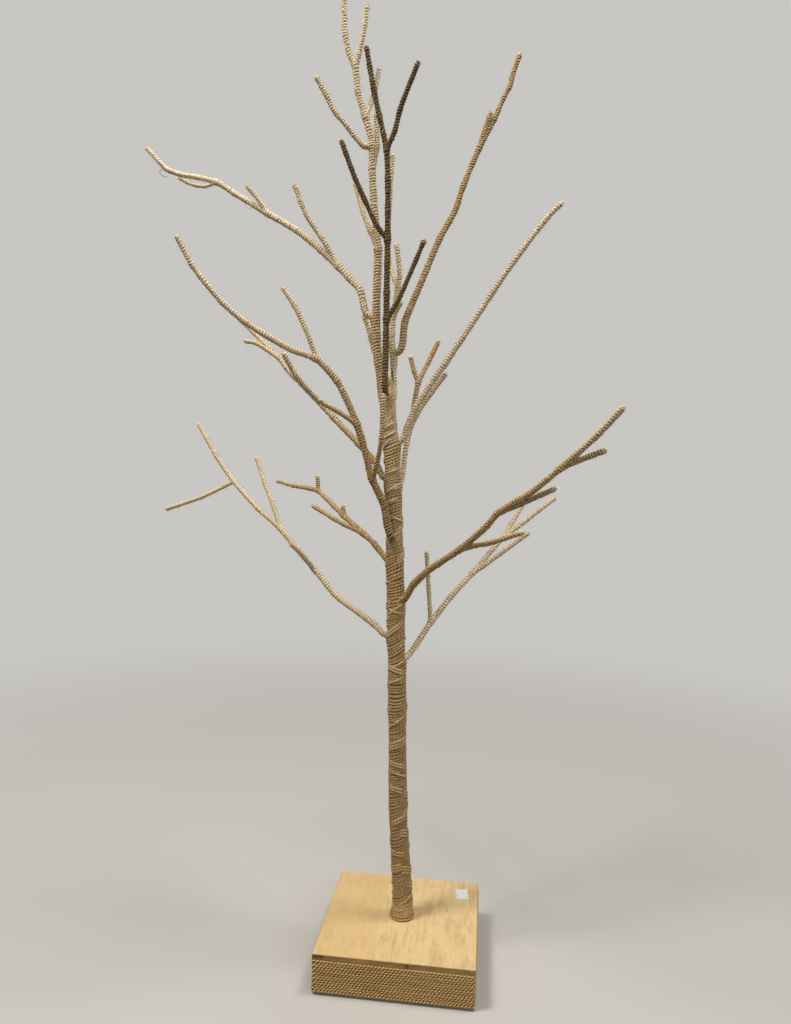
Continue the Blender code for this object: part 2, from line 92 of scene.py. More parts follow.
# How a run of twine is drawn
PATH_STEP = 0.0008
CORNER_SOFTNESS = 0.65
SIDES = 8
FILL_SIDES = 10
FILL_EVERY = 3
FIBRE_POINTS = 4
ROOT_REST = 0.35
ROOT_DROP = 0.0045
TIP_LENGTH = 0.0030
TIP_FADE = 0.0042
TIP_PALENESS = 1.5
CROSSING_PALENESS = 0.1
FORK_SWELL = 0.0007
BEND_SWELL = 0.0003
SWELL_REACH = 0.0042
COIL_RISE = 0.021
CROWN_RISE = 0.017
LIMB_TRIM = 0.0002
TWIG_NECK = 3.0
ROW_STAGGER = 0.38
THREAD_TINT = (0.55, 0.55, 0.55)
BASE_TINT = (1.22, 1.12, 0.90)
SEAM_WIDTH = 0.0018
SEAM_DEPTH = 0.0009
SEAM_STEPS = 120
SEAM_STAND = 0.00002
THIN_TWIGS = {("left_high", 8): 0.72}

# Label, floor and camera
LABEL_WIDE = 0.0158
LABEL_DEEP = 0.0240
LABEL_THICK = 0.00015
LABEL_PLACE = (0.0738, 0.0630)
LABEL_TURN = 5.0
LABEL_COLUMNS = 10
LABEL_ROWS = 13
SHARP_ANGLE = 40.0
FLOOR_REACH = 14.0
LAMP_AIM = 0.55
CAMERA_PLACE = (0.0878, -0.9656, 0.6189)
CAMERA_TURN = 6.5985
CAMERA_TILT = -3.4333
CAMERA_ROLL = 1.7441
CAMERA_LENS = 27.79


class Twig(NamedTuple):
    """A side twig: the run point that it grows from, its compass heading and its (out, up) points."""

    fork: int
    heading: float
    run: tuple


class Limb(NamedTuple):
    """A limb as it is bent by hand, with the same values as in the part."""

    bearer: str
    grip: float
    facing: float
    heading: float
    lean: float
    root_r: float
    run: tuple
    twigs: tuple


LIMBS = {
    "leader": Limb("trunk_top", 1.0, 180, 180, 0.0, 0.0062, (
        (0.008, 0.055), (0.010, 0.095), (0.010, 0.170), (0.015, 0.210), (0.020, 0.265),
        (0.020, 0.290), (0.030, 0.325), (0.040, 0.355), (0.044, 0.384), (0.051, 0.398),
        (0.057, 0.422), (0.060, 0.480),
    ), (
        Twig(3, 150, ((0.014, 0.024), (0.025, 0.047), (0.039, 0.085))),
        Twig(5, 30, ((0.006, 0.025), (0.002, 0.065))),
        Twig(6, 190, ((0.010, 0.000), (0.032, 0.023), (0.047, 0.039), (0.057, 0.057), (0.070, 0.078))),
        Twig(7, 60, ((0.015, 0.030), (0.024, 0.067))),
        Twig(9, 0, ((0.004, 0.013), (0.011, 0.051), (0.012, 0.071))),
    )),
    "back_stem": Limb("trunk", 0.985, 70, 0, 0.10, 0.0045, (
        (-0.004, 0.070), (-0.004, 0.105), (0.000, 0.140), (0.002, 0.155), (-0.004, 0.195),
    ), (
        Twig(2, -45, ((0.016, 0.015),)),
        Twig(3, 120, ((0.012, 0.014), (0.029, 0.034), (0.036, 0.058), (0.036, 0.099), (0.030, 0.173))),
    )),
    "front_high": Limb("trunk", 0.995, 268, 0, -0.10, 0.0045, (
        (0.000, 0.050), (0.000, 0.085), (0.000, 0.115), (0.000, 0.175), (-0.001, 0.245),
        (-0.003, 0.274), (-0.012, 0.311), (-0.019, 0.340), (-0.028, 0.385),
    ), (
        Twig(2, -10, ((0.007, 0.010), (0.015, 0.024), (0.034, 0.067), (0.044, 0.091))),
        Twig(4, 200, ((0.014, 0.016), (0.028, 0.042), (0.040, 0.065), (0.058, 0.107))),
        Twig(6, -30, ((0.011, 0.018), (0.018, 0.041), (0.042, 0.088))),
    )),
    "right_high": Limb("back_stem", 0.061, 0, 30, 0.0, 0.0048, (
        (0.005, 0.035), (0.025, 0.085), (0.050, 0.145), (0.070, 0.182), (0.080, 0.213),
        (0.101, 0.264), (0.121, 0.303), (0.134, 0.333), (0.143, 0.351), (0.147, 0.367),
        (0.156, 0.393),
    ), (
        Twig(6, 30, ((0.005, 0.018), (0.010, 0.033), (0.015, 0.048))),
    )),
    "left_high": Limb("leader", 0.091, 180, 170, 0.0, 0.0048, (
        (0.010, 0.030), (0.025, 0.045), (0.040, 0.060), (0.075, 0.090), (0.095, 0.105),
        (0.135, 0.128), (0.182, 0.156), (0.208, 0.172), (0.236, 0.180), (0.262, 0.186),
        (0.280, 0.193), (0.313, 0.224),
    ), (
        Twig(3, 190, ((0.015, 0.025), (0.040, 0.060), (0.055, 0.095))),
        Twig(6, 185, ((0.015, 0.020), (0.028, 0.034))),
        Twig(8, 170, ((0.017, -0.004), (0.030, -0.002), (0.043, 0.003), (0.056, 0.010))),
    )),
    "left_short": Limb("leader", 0.048, 120, 150, 0.0, 0.0038, (
        (0.006, 0.018), (0.018, 0.045),
    ), ()),
    "right_mid": Limb("trunk", 0.910, 0, -3, 0.0, 0.0046, (
        (0.005, 0.015), (0.015, 0.040), (0.049, 0.093), (0.077, 0.136), (0.100, 0.173),
        (0.125, 0.211), (0.165, 0.265), (0.180, 0.280),
    ), ()),
    "back_left": Limb("trunk", 0.840, 150, 150, 0.0, 0.0044, (
        (0.010, 0.015), (0.040, 0.040), (0.085, 0.075), (0.130, 0.110), (0.170, 0.141),
        (0.185, 0.156), (0.225, 0.186), (0.270, 0.219),
    ), (
        Twig(6, 165, ((0.020, 0.012), (0.036, 0.021), (0.056, 0.025))),
    )),
    "right_mid_back": Limb("trunk", 0.810, 70, 65, 0.0, 0.0040, (
        (0.008, 0.025), (0.015, 0.060), (0.025, 0.085), (0.040, 0.140), (0.065, 0.170),
        (0.090, 0.200),
    ), (
        Twig(3, 35, ((0.015, 0.025), (0.030, 0.045), (0.050, 0.070))),
        Twig(4, 150, ((0.008, 0.018), (0.014, 0.036))),
    )),
    "front_left": Limb("trunk", 0.730, 262, 192, 0.0, 0.0052, (
        (0.005, 0.015), (0.010, 0.040), (0.025, 0.070), (0.035, 0.105), (0.045, 0.135),
        (0.070, 0.185), (0.095, 0.210), (0.125, 0.220), (0.180, 0.250), (0.205, 0.270),
        (0.240, 0.310), (0.260, 0.345),
    ), (
        Twig(3, -60, ((0.015, 0.020), (0.025, 0.045), (0.028, 0.100))),
        Twig(5, 200, ((0.025, 0.015), (0.045, 0.025), (0.075, 0.055), (0.090, 0.080))),
        Twig(7, 175, ((0.010, 0.025), (0.030, 0.065), (0.045, 0.085))),
    )),
    "left_low_back": Limb("trunk", 0.680, 130, 132, 0.0, 0.0042, (
        (0.035, 0.020), (0.060, 0.030), (0.110, 0.050), (0.155, 0.070), (0.180, 0.080),
        (0.255, 0.085), (0.310, 0.090),
    ), (
        Twig(2, 140, ((0.045, 0.010), (0.110, 0.030))),
        Twig(3, 120, ((0.002, 0.014),)),
        Twig(5, 120, ((0.005, 0.022),)),
    )),
    "right_low_front": Limb("trunk", 0.615, -42, -42, 0.0, 0.0048, (
        (0.015, 0.020), (0.040, 0.040), (0.090, 0.070), (0.130, 0.100), (0.145, 0.115),
        (0.190, 0.140), (0.225, 0.165), (0.266, 0.197), (0.295, 0.224),
    ), (
        Twig(3, -20, ((0.015, 0.005), (0.035, 0.010), (0.075, 0.025))),
        Twig(5, -35, ((0.025, 0.010), (0.070, 0.030))),
        Twig(7, -30, ((0.018, 0.008), (0.031, 0.013), (0.047, 0.019))),
    )),
    "left_low": Limb("trunk", 0.545, 180, 155, 0.0, 0.0044, (
        (0.015, 0.010), (0.075, 0.040), (0.110, 0.070), (0.140, 0.095), (0.170, 0.120),
        (0.210, 0.145), (0.255, 0.180), (0.285, 0.210), (0.325, 0.260),
    ), (
        Twig(3, 230, ((0.020, 0.020), (0.040, 0.036))),
        Twig(5, 140, ((0.020, 0.035), (0.035, 0.055), (0.060, 0.095))),
        Twig(7, 170, ((0.020, -0.010), (0.050, -0.024), (0.108, -0.044))),
    )),
    "right_low_back": Limb("trunk", 0.500, 40, 40, 0.0, 0.0042, (
        (0.035, 0.040), (0.070, 0.075), (0.100, 0.100), (0.150, 0.145), (0.185, 0.165),
        (0.245, 0.200),
    ), (
        Twig(1, 150, ((0.004, 0.035), (0.010, 0.090))),
        Twig(3, 15, ((0.015, 0.010), (0.035, 0.025), (0.075, 0.055))),
        Twig(4, 60, ((0.025, 0.020), (0.055, 0.045))),
    )),
}
FIXED_LIMBS = ("leader", "back_stem")
# How much painted light and painted shade each limb's twine carries at its root and at its tip: -1 is full
# painted shade, 1 and more full painted light
LIMB_PAINTED_LIGHT = {
    "leader": (0.30, 1.10),
    "back_stem": (0.90, 0.95),
    "front_high": (-0.85, -0.90),
    "right_high": (0.22, -0.08),
    "left_high": (1.10, 1.50),
    "left_short": (0.22, 0.95),
    "right_mid": (1.05, 0.90),
    "back_left": (0.00, 0.95),
    "right_mid_back": (1.10, -0.10),
    "front_left": (-0.60, 1.45),
    "left_low_back": (-0.12, 0.35),
    "right_low_front": (-0.28, 0.60),
    "left_low": (0.60, 1.25),
    "right_low_back": (1.05, 0.65),
}


# ---------------------------------------------------------------- sizes and colours a user would change


def length_setting(name, description, default, low, high):
    return FloatProperty(
        name=name, description=description, default=default, min=low, max=high, precision=4, unit="LENGTH",
    )


def colour_setting(name, description, default):
    return FloatVectorProperty(
        name=name, description=description, subtype="COLOR", size=3, default=default, min=0.0, max=1.0,
    )


def power_setting(name, description, default):
    return FloatProperty(name=name, description=description, default=default, min=0.0, unit="POWER")


class TwineSizes(bpy.types.PropertyGroup):
    """Sizes of the twine and its fuzz."""

    trunk_pitch: length_setting(
        "Trunk twine", "Distance from one turn to the next on the trunk",
        0.0036, 0.0012, 0.010,
    )
    limb_pitch: length_setting(
        "Limb twine", "Distance from one turn to the next on the limbs",
        0.0035, 0.0012, 0.008,
    )
    twig_pitch: length_setting(
        "Twig twine", "Distance from one turn to the next on the side twigs",
        0.0031, 0.0012, 0.008,
    )
    plumpness: FloatProperty(
        name="Plumpness", description="How far a strand stands out, as a share of its width",
        default=0.66, min=0.3, max=1.0, subtype="FACTOR",
    )
    base_rows: IntProperty(
        name="Base rows", description="Turns of twine round the wooden base",
        default=13, min=4, max=30,
    )
    lay: length_setting(
        "Twist spacing", "Distance from one hump of the twisted twine to the next",
        0.0043, 0.001, 0.02,
    )
    stretch: length_setting(
        "Drawn step", "Length of each straight piece that a turn is drawn with",
        0.0013, 0.0008, 0.006,
    )
    fibre_length: length_setting(
        "Fibre length", "Typical length of a loose fibre",
        0.0048, 0.001, 0.02,
    )
    fibre_spacing: length_setting(
        "Fibre spacing", "Length of limb for each loose fibre",
        0.0007, 0.0003, 0.05,
    )


class TreeColours(bpy.types.PropertyGroup):
    """Colours of the twine, the wood and the small parts."""

    # The crown colour is also the painted highlight on the outer side of each turn.
    twine_pale: colour_setting("Twine crown", "Colour of the twine where it stands out", (0.78, 0.60, 0.31))
    twine_mid: colour_setting("Twine body", "Main colour of the twine", (0.45, 0.285, 0.096))
    # The crevice colour is painted shade between the turns.
    twine_dark: colour_setting(
        "Twine crevice", "Colour of the twine between its turns", (0.070, 0.036, 0.012),
    )
    # This pale colour carries the painted light on the limbs, with a darker copy of it as painted shade in
    # the crevices.
    twine_pale_and_painted_light: colour_setting(
        "Bleached twine", "Colour of the twine where light has bleached it", (0.95, 0.79, 0.53),
    )
    wood_pale: colour_setting("Pale wood", "Lightest colour of the top boards", (0.82, 0.60, 0.305))
    wood_warm: colour_setting("Warm wood", "Warmer grain colour of the top boards", (0.66, 0.43, 0.18))
    edge_brown: colour_setting(
        "Board edge", "Colour of the front edge of the top boards", (0.46, 0.275, 0.105),
    )
    paper: colour_setting("Label paper", "Colour of the blank label", (0.95, 0.95, 0.96))


class StudioValues(bpy.types.PropertyGroup):
    """Strength of the lamps and colours of the surroundings."""

    key_power: power_setting("Key lamp", "Power of the main soft lamp", 38.0)
    top_power: power_setting("Top lamp", "Power of the soft lamp overhead", 23.0)
    fill_power: power_setting("Fill lamp", "Power of the soft lamp from the front right", 10.0)
    surround: colour_setting(
        "Surround", "Colour of the plain surroundings that the camera sees", (0.585, 0.57, 0.545),
    )
    ambient: colour_setting("Ambient", "Colour of the soft light from all round", (0.20, 0.195, 0.19))
    floor: colour_setting("Floor", "Colour of the floor", (0.62, 0.60, 0.57))
    bounce: colour_setting(
        "Floor bounce", "Colour of the floor as far as it lights the tree", (0.20, 0.16, 0.12),
    )


# ---------------------------------------------------------------- where the limbs run


def compass(heading, out):
    angle = math.radians(heading)
    return Vector((math.cos(angle), math.sin(angle), 0.0)) * out


def bent_run(start, heading, lean, run):
    """Points of a run from its start, in the upright plane of its heading."""
    aside = compass(heading + 90.0, 1.0)
    points = [start.copy()]
    for out, up in run:
        points.append(start + compass(heading, out) + aside * (lean * up) + Vector((0.0, 0.0, up)))
    return points


def trunk_axis(share):
    """A point of the trunk's centre line, at a share of its length."""
    shares, sways = zip(*TRUNK_SWAY)
    return Vector((-float(np.interp(share, shares, sways)), 0.0, BASE_TOP + TRUNK_LENGTH * share))


def trunk_radius(share):
    return TRUNK_ROOT_R + (TRUNK_TOP_R - TRUNK_ROOT_R) * share


def point_at_rise(points, rise):
    """The point of a run at a height above its start."""
    for a, b in zip(points, points[1:]):
        if b.z - points[0].z >= rise:
            share = (rise - (a.z - points[0].z)) / (b.z - a.z)
            return a + (b - a) * share
    return points[-1]


def limb_root(limb):
    """Where a limb's centre line starts, clear of what bears it."""
    if limb.bearer == "trunk_top":
        return trunk_axis(1.0) + compass(limb.facing, LEADER_OFFSET) + Vector((0.0, 0.0, STEM_SEAT))
    if limb.bearer == "trunk":
        centre = trunk_axis(limb.grip)
        reach = trunk_radius(limb.grip)
    else:
        bearer = LIMBS[limb.bearer]
        points = bent_run(limb_root(bearer), bearer.heading, bearer.lean, bearer.run)
        centre = point_at_rise(points, limb.grip)
        reach = bearer.root_r
    return centre + compass(limb.facing, reach + limb.root_r + BEND_GAP)


# ---------------------------------------------------------------- runs and strands


class Run(NamedTuple):
    """An evenly stepped centre line, with a frame and an outer radius at each step."""

    line: np.ndarray
    along: np.ndarray
    side: np.ndarray
    across: np.ndarray
    girth: np.ndarray


class Bulge(NamedTuple):
    """A shoulder on one side of a run, where another one leaves it."""

    place: float
    toward: np.ndarray
    size: float
    below: float
    above: float


def unit(rows):
    return rows / np.maximum(np.linalg.norm(rows, axis=-1, keepdims=True), 1e-12)


def rounded_line(points):
    """An even line through given points: nearly straight stretches with softly turned corners."""
    knots = np.array([tuple(point) for point in points])
    legs = np.diff(knots, axis=0)
    spans = np.linalg.norm(legs, axis=1)
    heads = legs / spans[:, None]
    turns = unit(np.vstack([heads[:1], heads[:-1] + heads[1:], heads[-1:]])) * CORNER_SOFTNESS
    drawn = []
    for i, span in enumerate(spans):
        t = np.linspace(0.0, 1.0, max(4, math.ceil(span / PATH_STEP)), endpoint=False)[:, None]
        start = (2 * t**3 - 3 * t**2 + 1) * knots[i] + (t**3 - 2 * t**2 + t) * span * turns[i]
        end = (3 * t**2 - 2 * t**3) * knots[i + 1] + (t**3 - t**2) * span * turns[i + 1]
        drawn.append(start + end)
    drawn.append(knots[-1:])
    rough = np.vstack(drawn)
    far = np.concatenate([[0.0], np.cumsum(np.linalg.norm(np.diff(rough, axis=0), axis=1))])
    even = np.linspace(0.0, far[-1], max(4, math.ceil(far[-1] / PATH_STEP)))
    line = np.column_stack([np.interp(even, far, rough[:, axis]) for axis in range(3)])
    return line, even


def framed(line, along, girth):
    """A run with a frame that turns as little as it can from step to step."""
    ahead = unit(np.gradient(line, axis=0))
    start = np.array((0.0, -1.0, 0.0)) if abs(ahead[0][1]) < 0.9 else np.array((1.0, 0.0, 0.0))
    side = np.empty_like(line)
    for i, way in enumerate(ahead):
        start = start - way * start.dot(way)
        start = start / np.linalg.norm(start)
        side[i] = start
    return Run(line, along, side, np.cross(ahead, side), girth)


def nearest(line, along, point):
    """How far along a line the step nearest to a point is."""
    return float(along[np.argmin(np.linalg.norm(line - np.array(tuple(point)), axis=1))])


def drift(rng, where, reach):
    """Slow random change along a run: about -1 to 1, with a new aim every reach metres."""
    aims = rng.uniform(-1.0, 1.0, max(3, math.ceil(float(where.max()) / reach) + 2))
    place = where / reach
    low = np.clip(place.astype(int), 0, len(aims) - 2)
    t = np.clip(place - low, 0.0, 1.0)
    ease = t * t * (3.0 - 2.0 * t)
    return aims[low] * (1.0 - ease) + aims[low + 1] * ease


def rounded_tip(along, girth):
    """Close a run's end as a blunt, slightly swollen tip."""
    left = along[-1] - along
    swollen = girth * (1.0 + 0.06 * np.exp(-(((left - TIP_LENGTH) / TIP_LENGTH) ** 2)))
    share = np.clip(left / TIP_LENGTH, 0.0, 1.0)
    return swollen * np.sqrt(np.maximum(1.0 - (1.0 - share) ** 2, 0.12))


class Strand(NamedTuple):
    """A strand's centre line, outward direction, thickness and width at each step."""

    centre: np.ndarray
    outward: np.ndarray
    thick: np.ndarray
    wide: np.ndarray


def on_surface(run, spot, angle):
    """Places on the centre line of a run and the outward directions there at some angles."""
    line, side, across = (
        np.column_stack([np.interp(spot, run.along, rows[:, axis]) for axis in range(3)])
        for rows in (run.line, run.side, run.across)
    )
    return line, unit(side * np.cos(angle)[:, None] + across * np.sin(angle)[:, None])


def raised(reach, spot, outward, bulges):
    """The outer radius, with the shoulders under whatever leaves the run there."""
    for bulge in bulges:
        gap = spot - bulge.place
        window = np.exp(-((gap / np.where(gap < 0.0, bulge.below, bulge.above)) ** 2))
        reach = reach + bulge.size * window * np.clip(outward @ bulge.toward, 0.0, 1.0) ** 2
    return reach


def wound(run, pitch, plump, stretch, rng, slant=0.0, wander=0.02, bulges=(), uneven=0.10, tilt=0.0):
    """One strand wound round a run, turn by turn, with uneven and slanting turns."""
    end = float(run.along[-1])
    marks = [0.0]
    while marks[-1] < end:
        marks.append(marks[-1] + pitch * float(np.clip(rng.normal(1.0, uneven), 0.75, 1.30)))
    marks[-1] = end
    middle = float(np.interp(end / 2, run.along, run.girth))
    per_turn = max(12, round(math.tau * middle / stretch))
    turn = np.arange((len(marks) - 1) * per_turn + 1) / per_turn
    spot = np.interp(turn, np.arange(len(marks)), marks)
    angle = math.tau * turn + rng.uniform(0.0, math.tau)
    lean = slant * drift(rng, spot, wander) * np.cos(angle + 2.5 * drift(rng, spot, 0.06))
    ease = np.clip(np.minimum(spot, end - spot) / 0.02, 0.0, 1.0)
    lean = lean + tilt * ease * (1.0 + 0.5 * drift(rng, spot, 0.05)) * np.sin(angle)
    spot = np.clip(spot + lean, 0.0, end)
    line, outward = on_surface(run, spot, angle)
    reach = raised(np.interp(spot, run.along, run.girth), spot, outward, bulges)
    counts = np.arange(len(marks) + 1)
    proud = np.interp(turn, counts, rng.normal(0.0, 0.06, len(counts)))
    wide = np.interp(turn, np.arange(len(marks)), np.gradient(np.array(marks))) * 1.04
    thick = pitch * plump * (1.0 + proud)
    centre = line + outward * (reach - thick / 2 + pitch * proud * 0.5)[:, None]
    return Strand(centre, outward, thick, wide)


def crossing(run, place, rise, turns, start, width, plump, lift, stretch, bulges=()):
    """A strand that climbs over the turns at a slant and tucks in under them at both ends."""
    end = float(run.along[-1])
    middle = float(np.interp(place, run.along, run.girth))
    steps = max(10, round(math.hypot(math.tau * middle * turns, rise) / stretch))
    share = np.linspace(0.0, 1.0, steps)
    spot = np.clip(place + rise * share, 0.0, end)
    line, outward = on_surface(run, spot, start + math.tau * turns * share)
    shown = np.sqrt(np.sin(math.pi * share).clip(0.0, 1.0))
    thick = np.full(steps, width * plump)
    reach = raised(np.interp(spot, run.along, run.girth), spot, outward, bulges)
    reach = reach + lift * shown - width * (1.0 - shown)
    return Strand(line + outward * (reach - thick / 2)[:, None], outward, thick, np.full(steps, width))


def fibres_on(strand, count, length, rng):
    """Loose fibres that leave a strand: four points for each, curving away from it."""
    picks = rng.integers(2, len(strand.centre) - 3, count)
    ahead = unit(strand.centre[picks + 1] - strand.centre[picks - 1])
    out = strand.outward[picks]
    aside = unit(np.cross(out, ahead))
    reach = length * rng.uniform(0.35, 1.3, count)
    heading = unit(
        out * rng.uniform(0.35, 1.0, count)[:, None]
        + ahead * rng.choice((-1.0, 1.0), count)[:, None] * rng.uniform(0.2, 1.0, count)[:, None]
        + aside * rng.uniform(-0.5, 0.5, count)[:, None]
    )
    bend = unit(rng.normal(0.0, 1.0, (count, 3))) * rng.uniform(0.1, 0.5, count)[:, None]
    base = strand.centre[picks] + out * (strand.thick[picks] * 0.35)[:, None]
    shares = np.linspace(0.0, 1.0, FIBRE_POINTS)
    return np.stack(
        [base + (heading * s + bend * s * s) * reach[:, None] for s in shares], axis=1
    )


class TwineMesh:
    """Gathers strands and fibres into one mesh of closed tubes."""

    def __init__(self, rng):
        self.rng = rng
        self.parts = []

    def add(self, centre, outward, thick, wide, sides, lay, finish, tone=None, tone_and_painted_light=0.0, relief=0.16):
        """Tubes from stacked lines: centre (n, k, 3), outward (n, k, 3), thick and wide (n, k)."""
        count, steps, _ = centre.shape
        ahead = unit(np.gradient(centre, axis=1))
        aside = unit(np.cross(ahead, outward))
        out = np.cross(aside, ahead)
        hops = np.linalg.norm(np.diff(centre, axis=1), axis=2)
        far = np.concatenate([np.zeros((count, 1)), np.cumsum(hops, axis=1)], axis=1)
        round_by = math.tau * np.arange(sides) / sides
        lobes = np.zeros((count, steps, sides))
        if lay > 0.0:
            lobes = np.cos(2.0 * round_by + (math.tau * far / lay)[..., None])
        rough = self.rng.normal(0.0, 0.03, lobes.shape) if lay > 0.0 else 0.0
        swell = 1.0 + relief * lobes + rough
        up = (np.cos(round_by) * swell * (thick / 2)[..., None])[..., None]
        over = (np.sin(round_by) * swell * (wide / 2)[..., None])[..., None]
        places = centre[:, :, None] + out[:, :, None] * up + aside[:, :, None] * over
        # The crown value paints light and shade: near 1 on the outer side of each strand and its twist
        # humps for a painted highlight, near 0 on its inner side for painted shade.
        crown = 0.5 + 0.5 * np.cos(round_by) * np.ones_like(lobes) + 1.6 * relief * lobes
        if tone is not None:
            crown = np.zeros(lobes.shape) + np.reshape(tone, (1, -1, 1))
        pale = np.zeros(lobes.shape) + np.reshape(tone_and_painted_light, (1, -1, 1))
        start = far + self.rng.uniform(0.0, 5.0, (count, 1))
        self.parts.append((places, crown, pale, start, sides, finish))

    def add_strand(self, strand, lay, finish=0, sides=SIDES, tone_and_painted_light=0.0, relief=0.16):
        """One strand, thinned at its two ends so that it closes there."""
        steps = len(strand.centre)
        ends = np.minimum(np.arange(steps), np.arange(steps)[::-1])
        fade = np.clip(0.35 + 0.22 * ends, 0.0, 1.0)
        self.add(
            strand.centre[None], strand.outward[None], (strand.thick * fade)[None],
            (strand.wide * fade)[None], sides, lay, finish, None, tone_and_painted_light, relief,
        )

    def add_fill(self, run, depth, tone_and_painted_light=(0.0, 0.0)):
        """A brown filling under the turns, so that no gap between them shows through; its crown value of
        about 0.5 gives it the painted crevice shade.
        """
        line = run.line[::FILL_EVERY]
        size = 2.0 * np.maximum(run.girth[::FILL_EVERY] - depth, 0.0004)
        outward = run.side[::FILL_EVERY]
        left = run.along[-1] - run.along[::FILL_EVERY]
        tip = np.exp(-((left / TIP_LENGTH) ** 2))
        pale = np.linspace(*tone_and_painted_light, len(line)) + TIP_PALENESS * tip
        tone = 0.50 + 0.45 * tip
        self.add(line[None], outward[None], size[None], size[None], FILL_SIDES, 0.0, 0, tone, pale)

    def add_fibres(self, lines, rng, finish=1):
        """Thin fibres, each tapering to its end."""
        count, steps, _ = lines.shape
        thin = rng.uniform(0.00012, 0.00026, (count, 1)) * np.linspace(1.0, 0.35, steps)[None]
        outward = unit(rng.normal(0.0, 1.0, (count, 1, 3))) * np.ones((1, steps, 1))
        self.add(lines, outward, thin, thin, 3, 0.0, finish)

    def build(self, name, finishes):
        """The mesh object, with its twine map, its crown values and a compact map for painting on."""
        places, crowns, tones_and_painted_lights, corners, sizes, slots, twine, cells = ([] for _ in range(8))
        total = sum(p[0].shape[0] * (p[0].shape[1] - 1) * (p[4] + 1) for p in self.parts)
        row_cells = max(8, math.ceil(math.sqrt(total)))
        offset = 0
        height = 0
        for places_part, crown, pale, far, sides, finish in self.parts:
            count, steps, _, _ = places_part.shape
            grid = offset + np.arange(count * steps * sides).reshape(count, steps, sides)
            after = np.roll(grid, -1, axis=2)
            quads = np.stack([grid[:, :-1], after[:, :-1], after[:, 1:], grid[:, 1:]], axis=-1)
            quads = quads.reshape(-1, 4)
            first = grid[:, 0, ::-1].reshape(-1, sides)
            last = grid[:, -1].reshape(-1, sides)
            around = np.arange(sides) / sides
            u = np.broadcast_to(far[:, :, None], grid.shape)
            v = np.broadcast_to(around, grid.shape)
            u_quads = np.stack([u[:, :-1], u[:, :-1], u[:, 1:], u[:, 1:]], axis=-1).reshape(-1)
            v_quads = np.stack(
                [v[:, :-1], v[:, :-1] + 1 / sides, v[:, 1:] + 1 / sides, v[:, 1:]], axis=-1
            ).reshape(-1)
            caps = np.concatenate([first, last])
            cap_u = np.concatenate([
                np.repeat(far[:, 0], sides), np.repeat(far[:, -1], sides)
            ])
            number = np.arange(count * (steps - 1))
            left = (number % row_cells)[:, None] * np.ones((1, sides))
            low = height + (number // row_cells)[:, None] * (sides + 1) + np.arange(sides)[None]
            x = np.stack([left, left, left + 1, left + 1], axis=-1).reshape(-1)
            y = np.stack([low, low + 1, low + 1, low], axis=-1).reshape(-1)
            turn = math.tau * np.arange(sides) / sides
            cap_x = np.concatenate([
                np.repeat(left[:: steps - 1, 0], sides), np.repeat(left[steps - 2:: steps - 1, 0], sides)
            ]) + 0.5 + 0.4 * np.tile(np.cos(turn), 2 * count)
            cap_y = np.concatenate([
                np.repeat(low[:: steps - 1, -1], sides), np.repeat(low[steps - 2:: steps - 1, -1], sides)
            ]) + 1.5 + 0.4 * np.tile(np.sin(turn), 2 * count)
            places.append(places_part.reshape(-1, 3))
            crowns.append(crown.reshape(-1))
            tones_and_painted_lights.append(pale.reshape(-1))
            corners.append(quads.reshape(-1))
            corners.append(caps.reshape(-1))
            sizes.append(np.full(len(quads), 4))
            sizes.append(np.full(len(caps), sides))
            slots.append(np.full(len(quads) + len(caps), finish))
            twine.append(np.column_stack([u_quads, v_quads]))
            twine.append(np.column_stack([cap_u, np.zeros(len(cap_u))]))
            cells.append(np.column_stack([x, y]))
            cells.append(np.column_stack([cap_x, cap_y]))
            offset += count * steps * sides
            height += (math.ceil(count * (steps - 1) / row_cells)) * (sides + 1) + 1
        mesh = mesh_from(name, np.concatenate(places), np.concatenate(corners), np.concatenate(sizes))
        mesh.polygons.foreach_set("material_index", np.concatenate(slots).astype(np.int32))
        for label, values in (("crown", crowns), ("tone_and_painted_light", tones_and_painted_lights)):
            layer = mesh.attributes.new(label, "FLOAT", "POINT")
            layer.data.foreach_set("value", np.concatenate(values).astype(np.float32))
        twine_map = mesh.uv_layers.new(name="twine")
        twine_map.uv.foreach_set("vector", np.concatenate(twine).astype(np.float32).ravel())
        cell_map = mesh.uv_layers.new(name="OFBake")
        spread = np.concatenate(cells) / np.array((row_cells, height))
        cell_map.uv.foreach_set("vector", spread.astype(np.float32).ravel())
        return piece(name, mesh, finishes)


def mesh_from(name, places, corners, sizes):
    """A smooth mesh from its points, its corner list and the number of corners of each face."""
    mesh = bpy.data.meshes.new(name)
    mesh.vertices.add(len(places))
    mesh.vertices.foreach_set("co", places.astype(np.float32).ravel())
    mesh.loops.add(len(corners))
    mesh.loops.foreach_set("vertex_index", corners.astype(np.int32))
    mesh.polygons.add(len(sizes))
    starts = np.concatenate([[0], np.cumsum(sizes)[:-1]])
    mesh.polygons.foreach_set("loop_start", starts.astype(np.int32))
    mesh.update(calc_edges=True)
    mesh.validate()
    mesh.shade_smooth()
    return mesh


def piece(name, mesh, finishes):
    item = bpy.data.objects.new(name, mesh)
    for finish in finishes:
        mesh.materials.append(finish)
    bpy.context.scene.collection.objects.link(item)
    return item


# ---------------------------------------------------------------- finishes


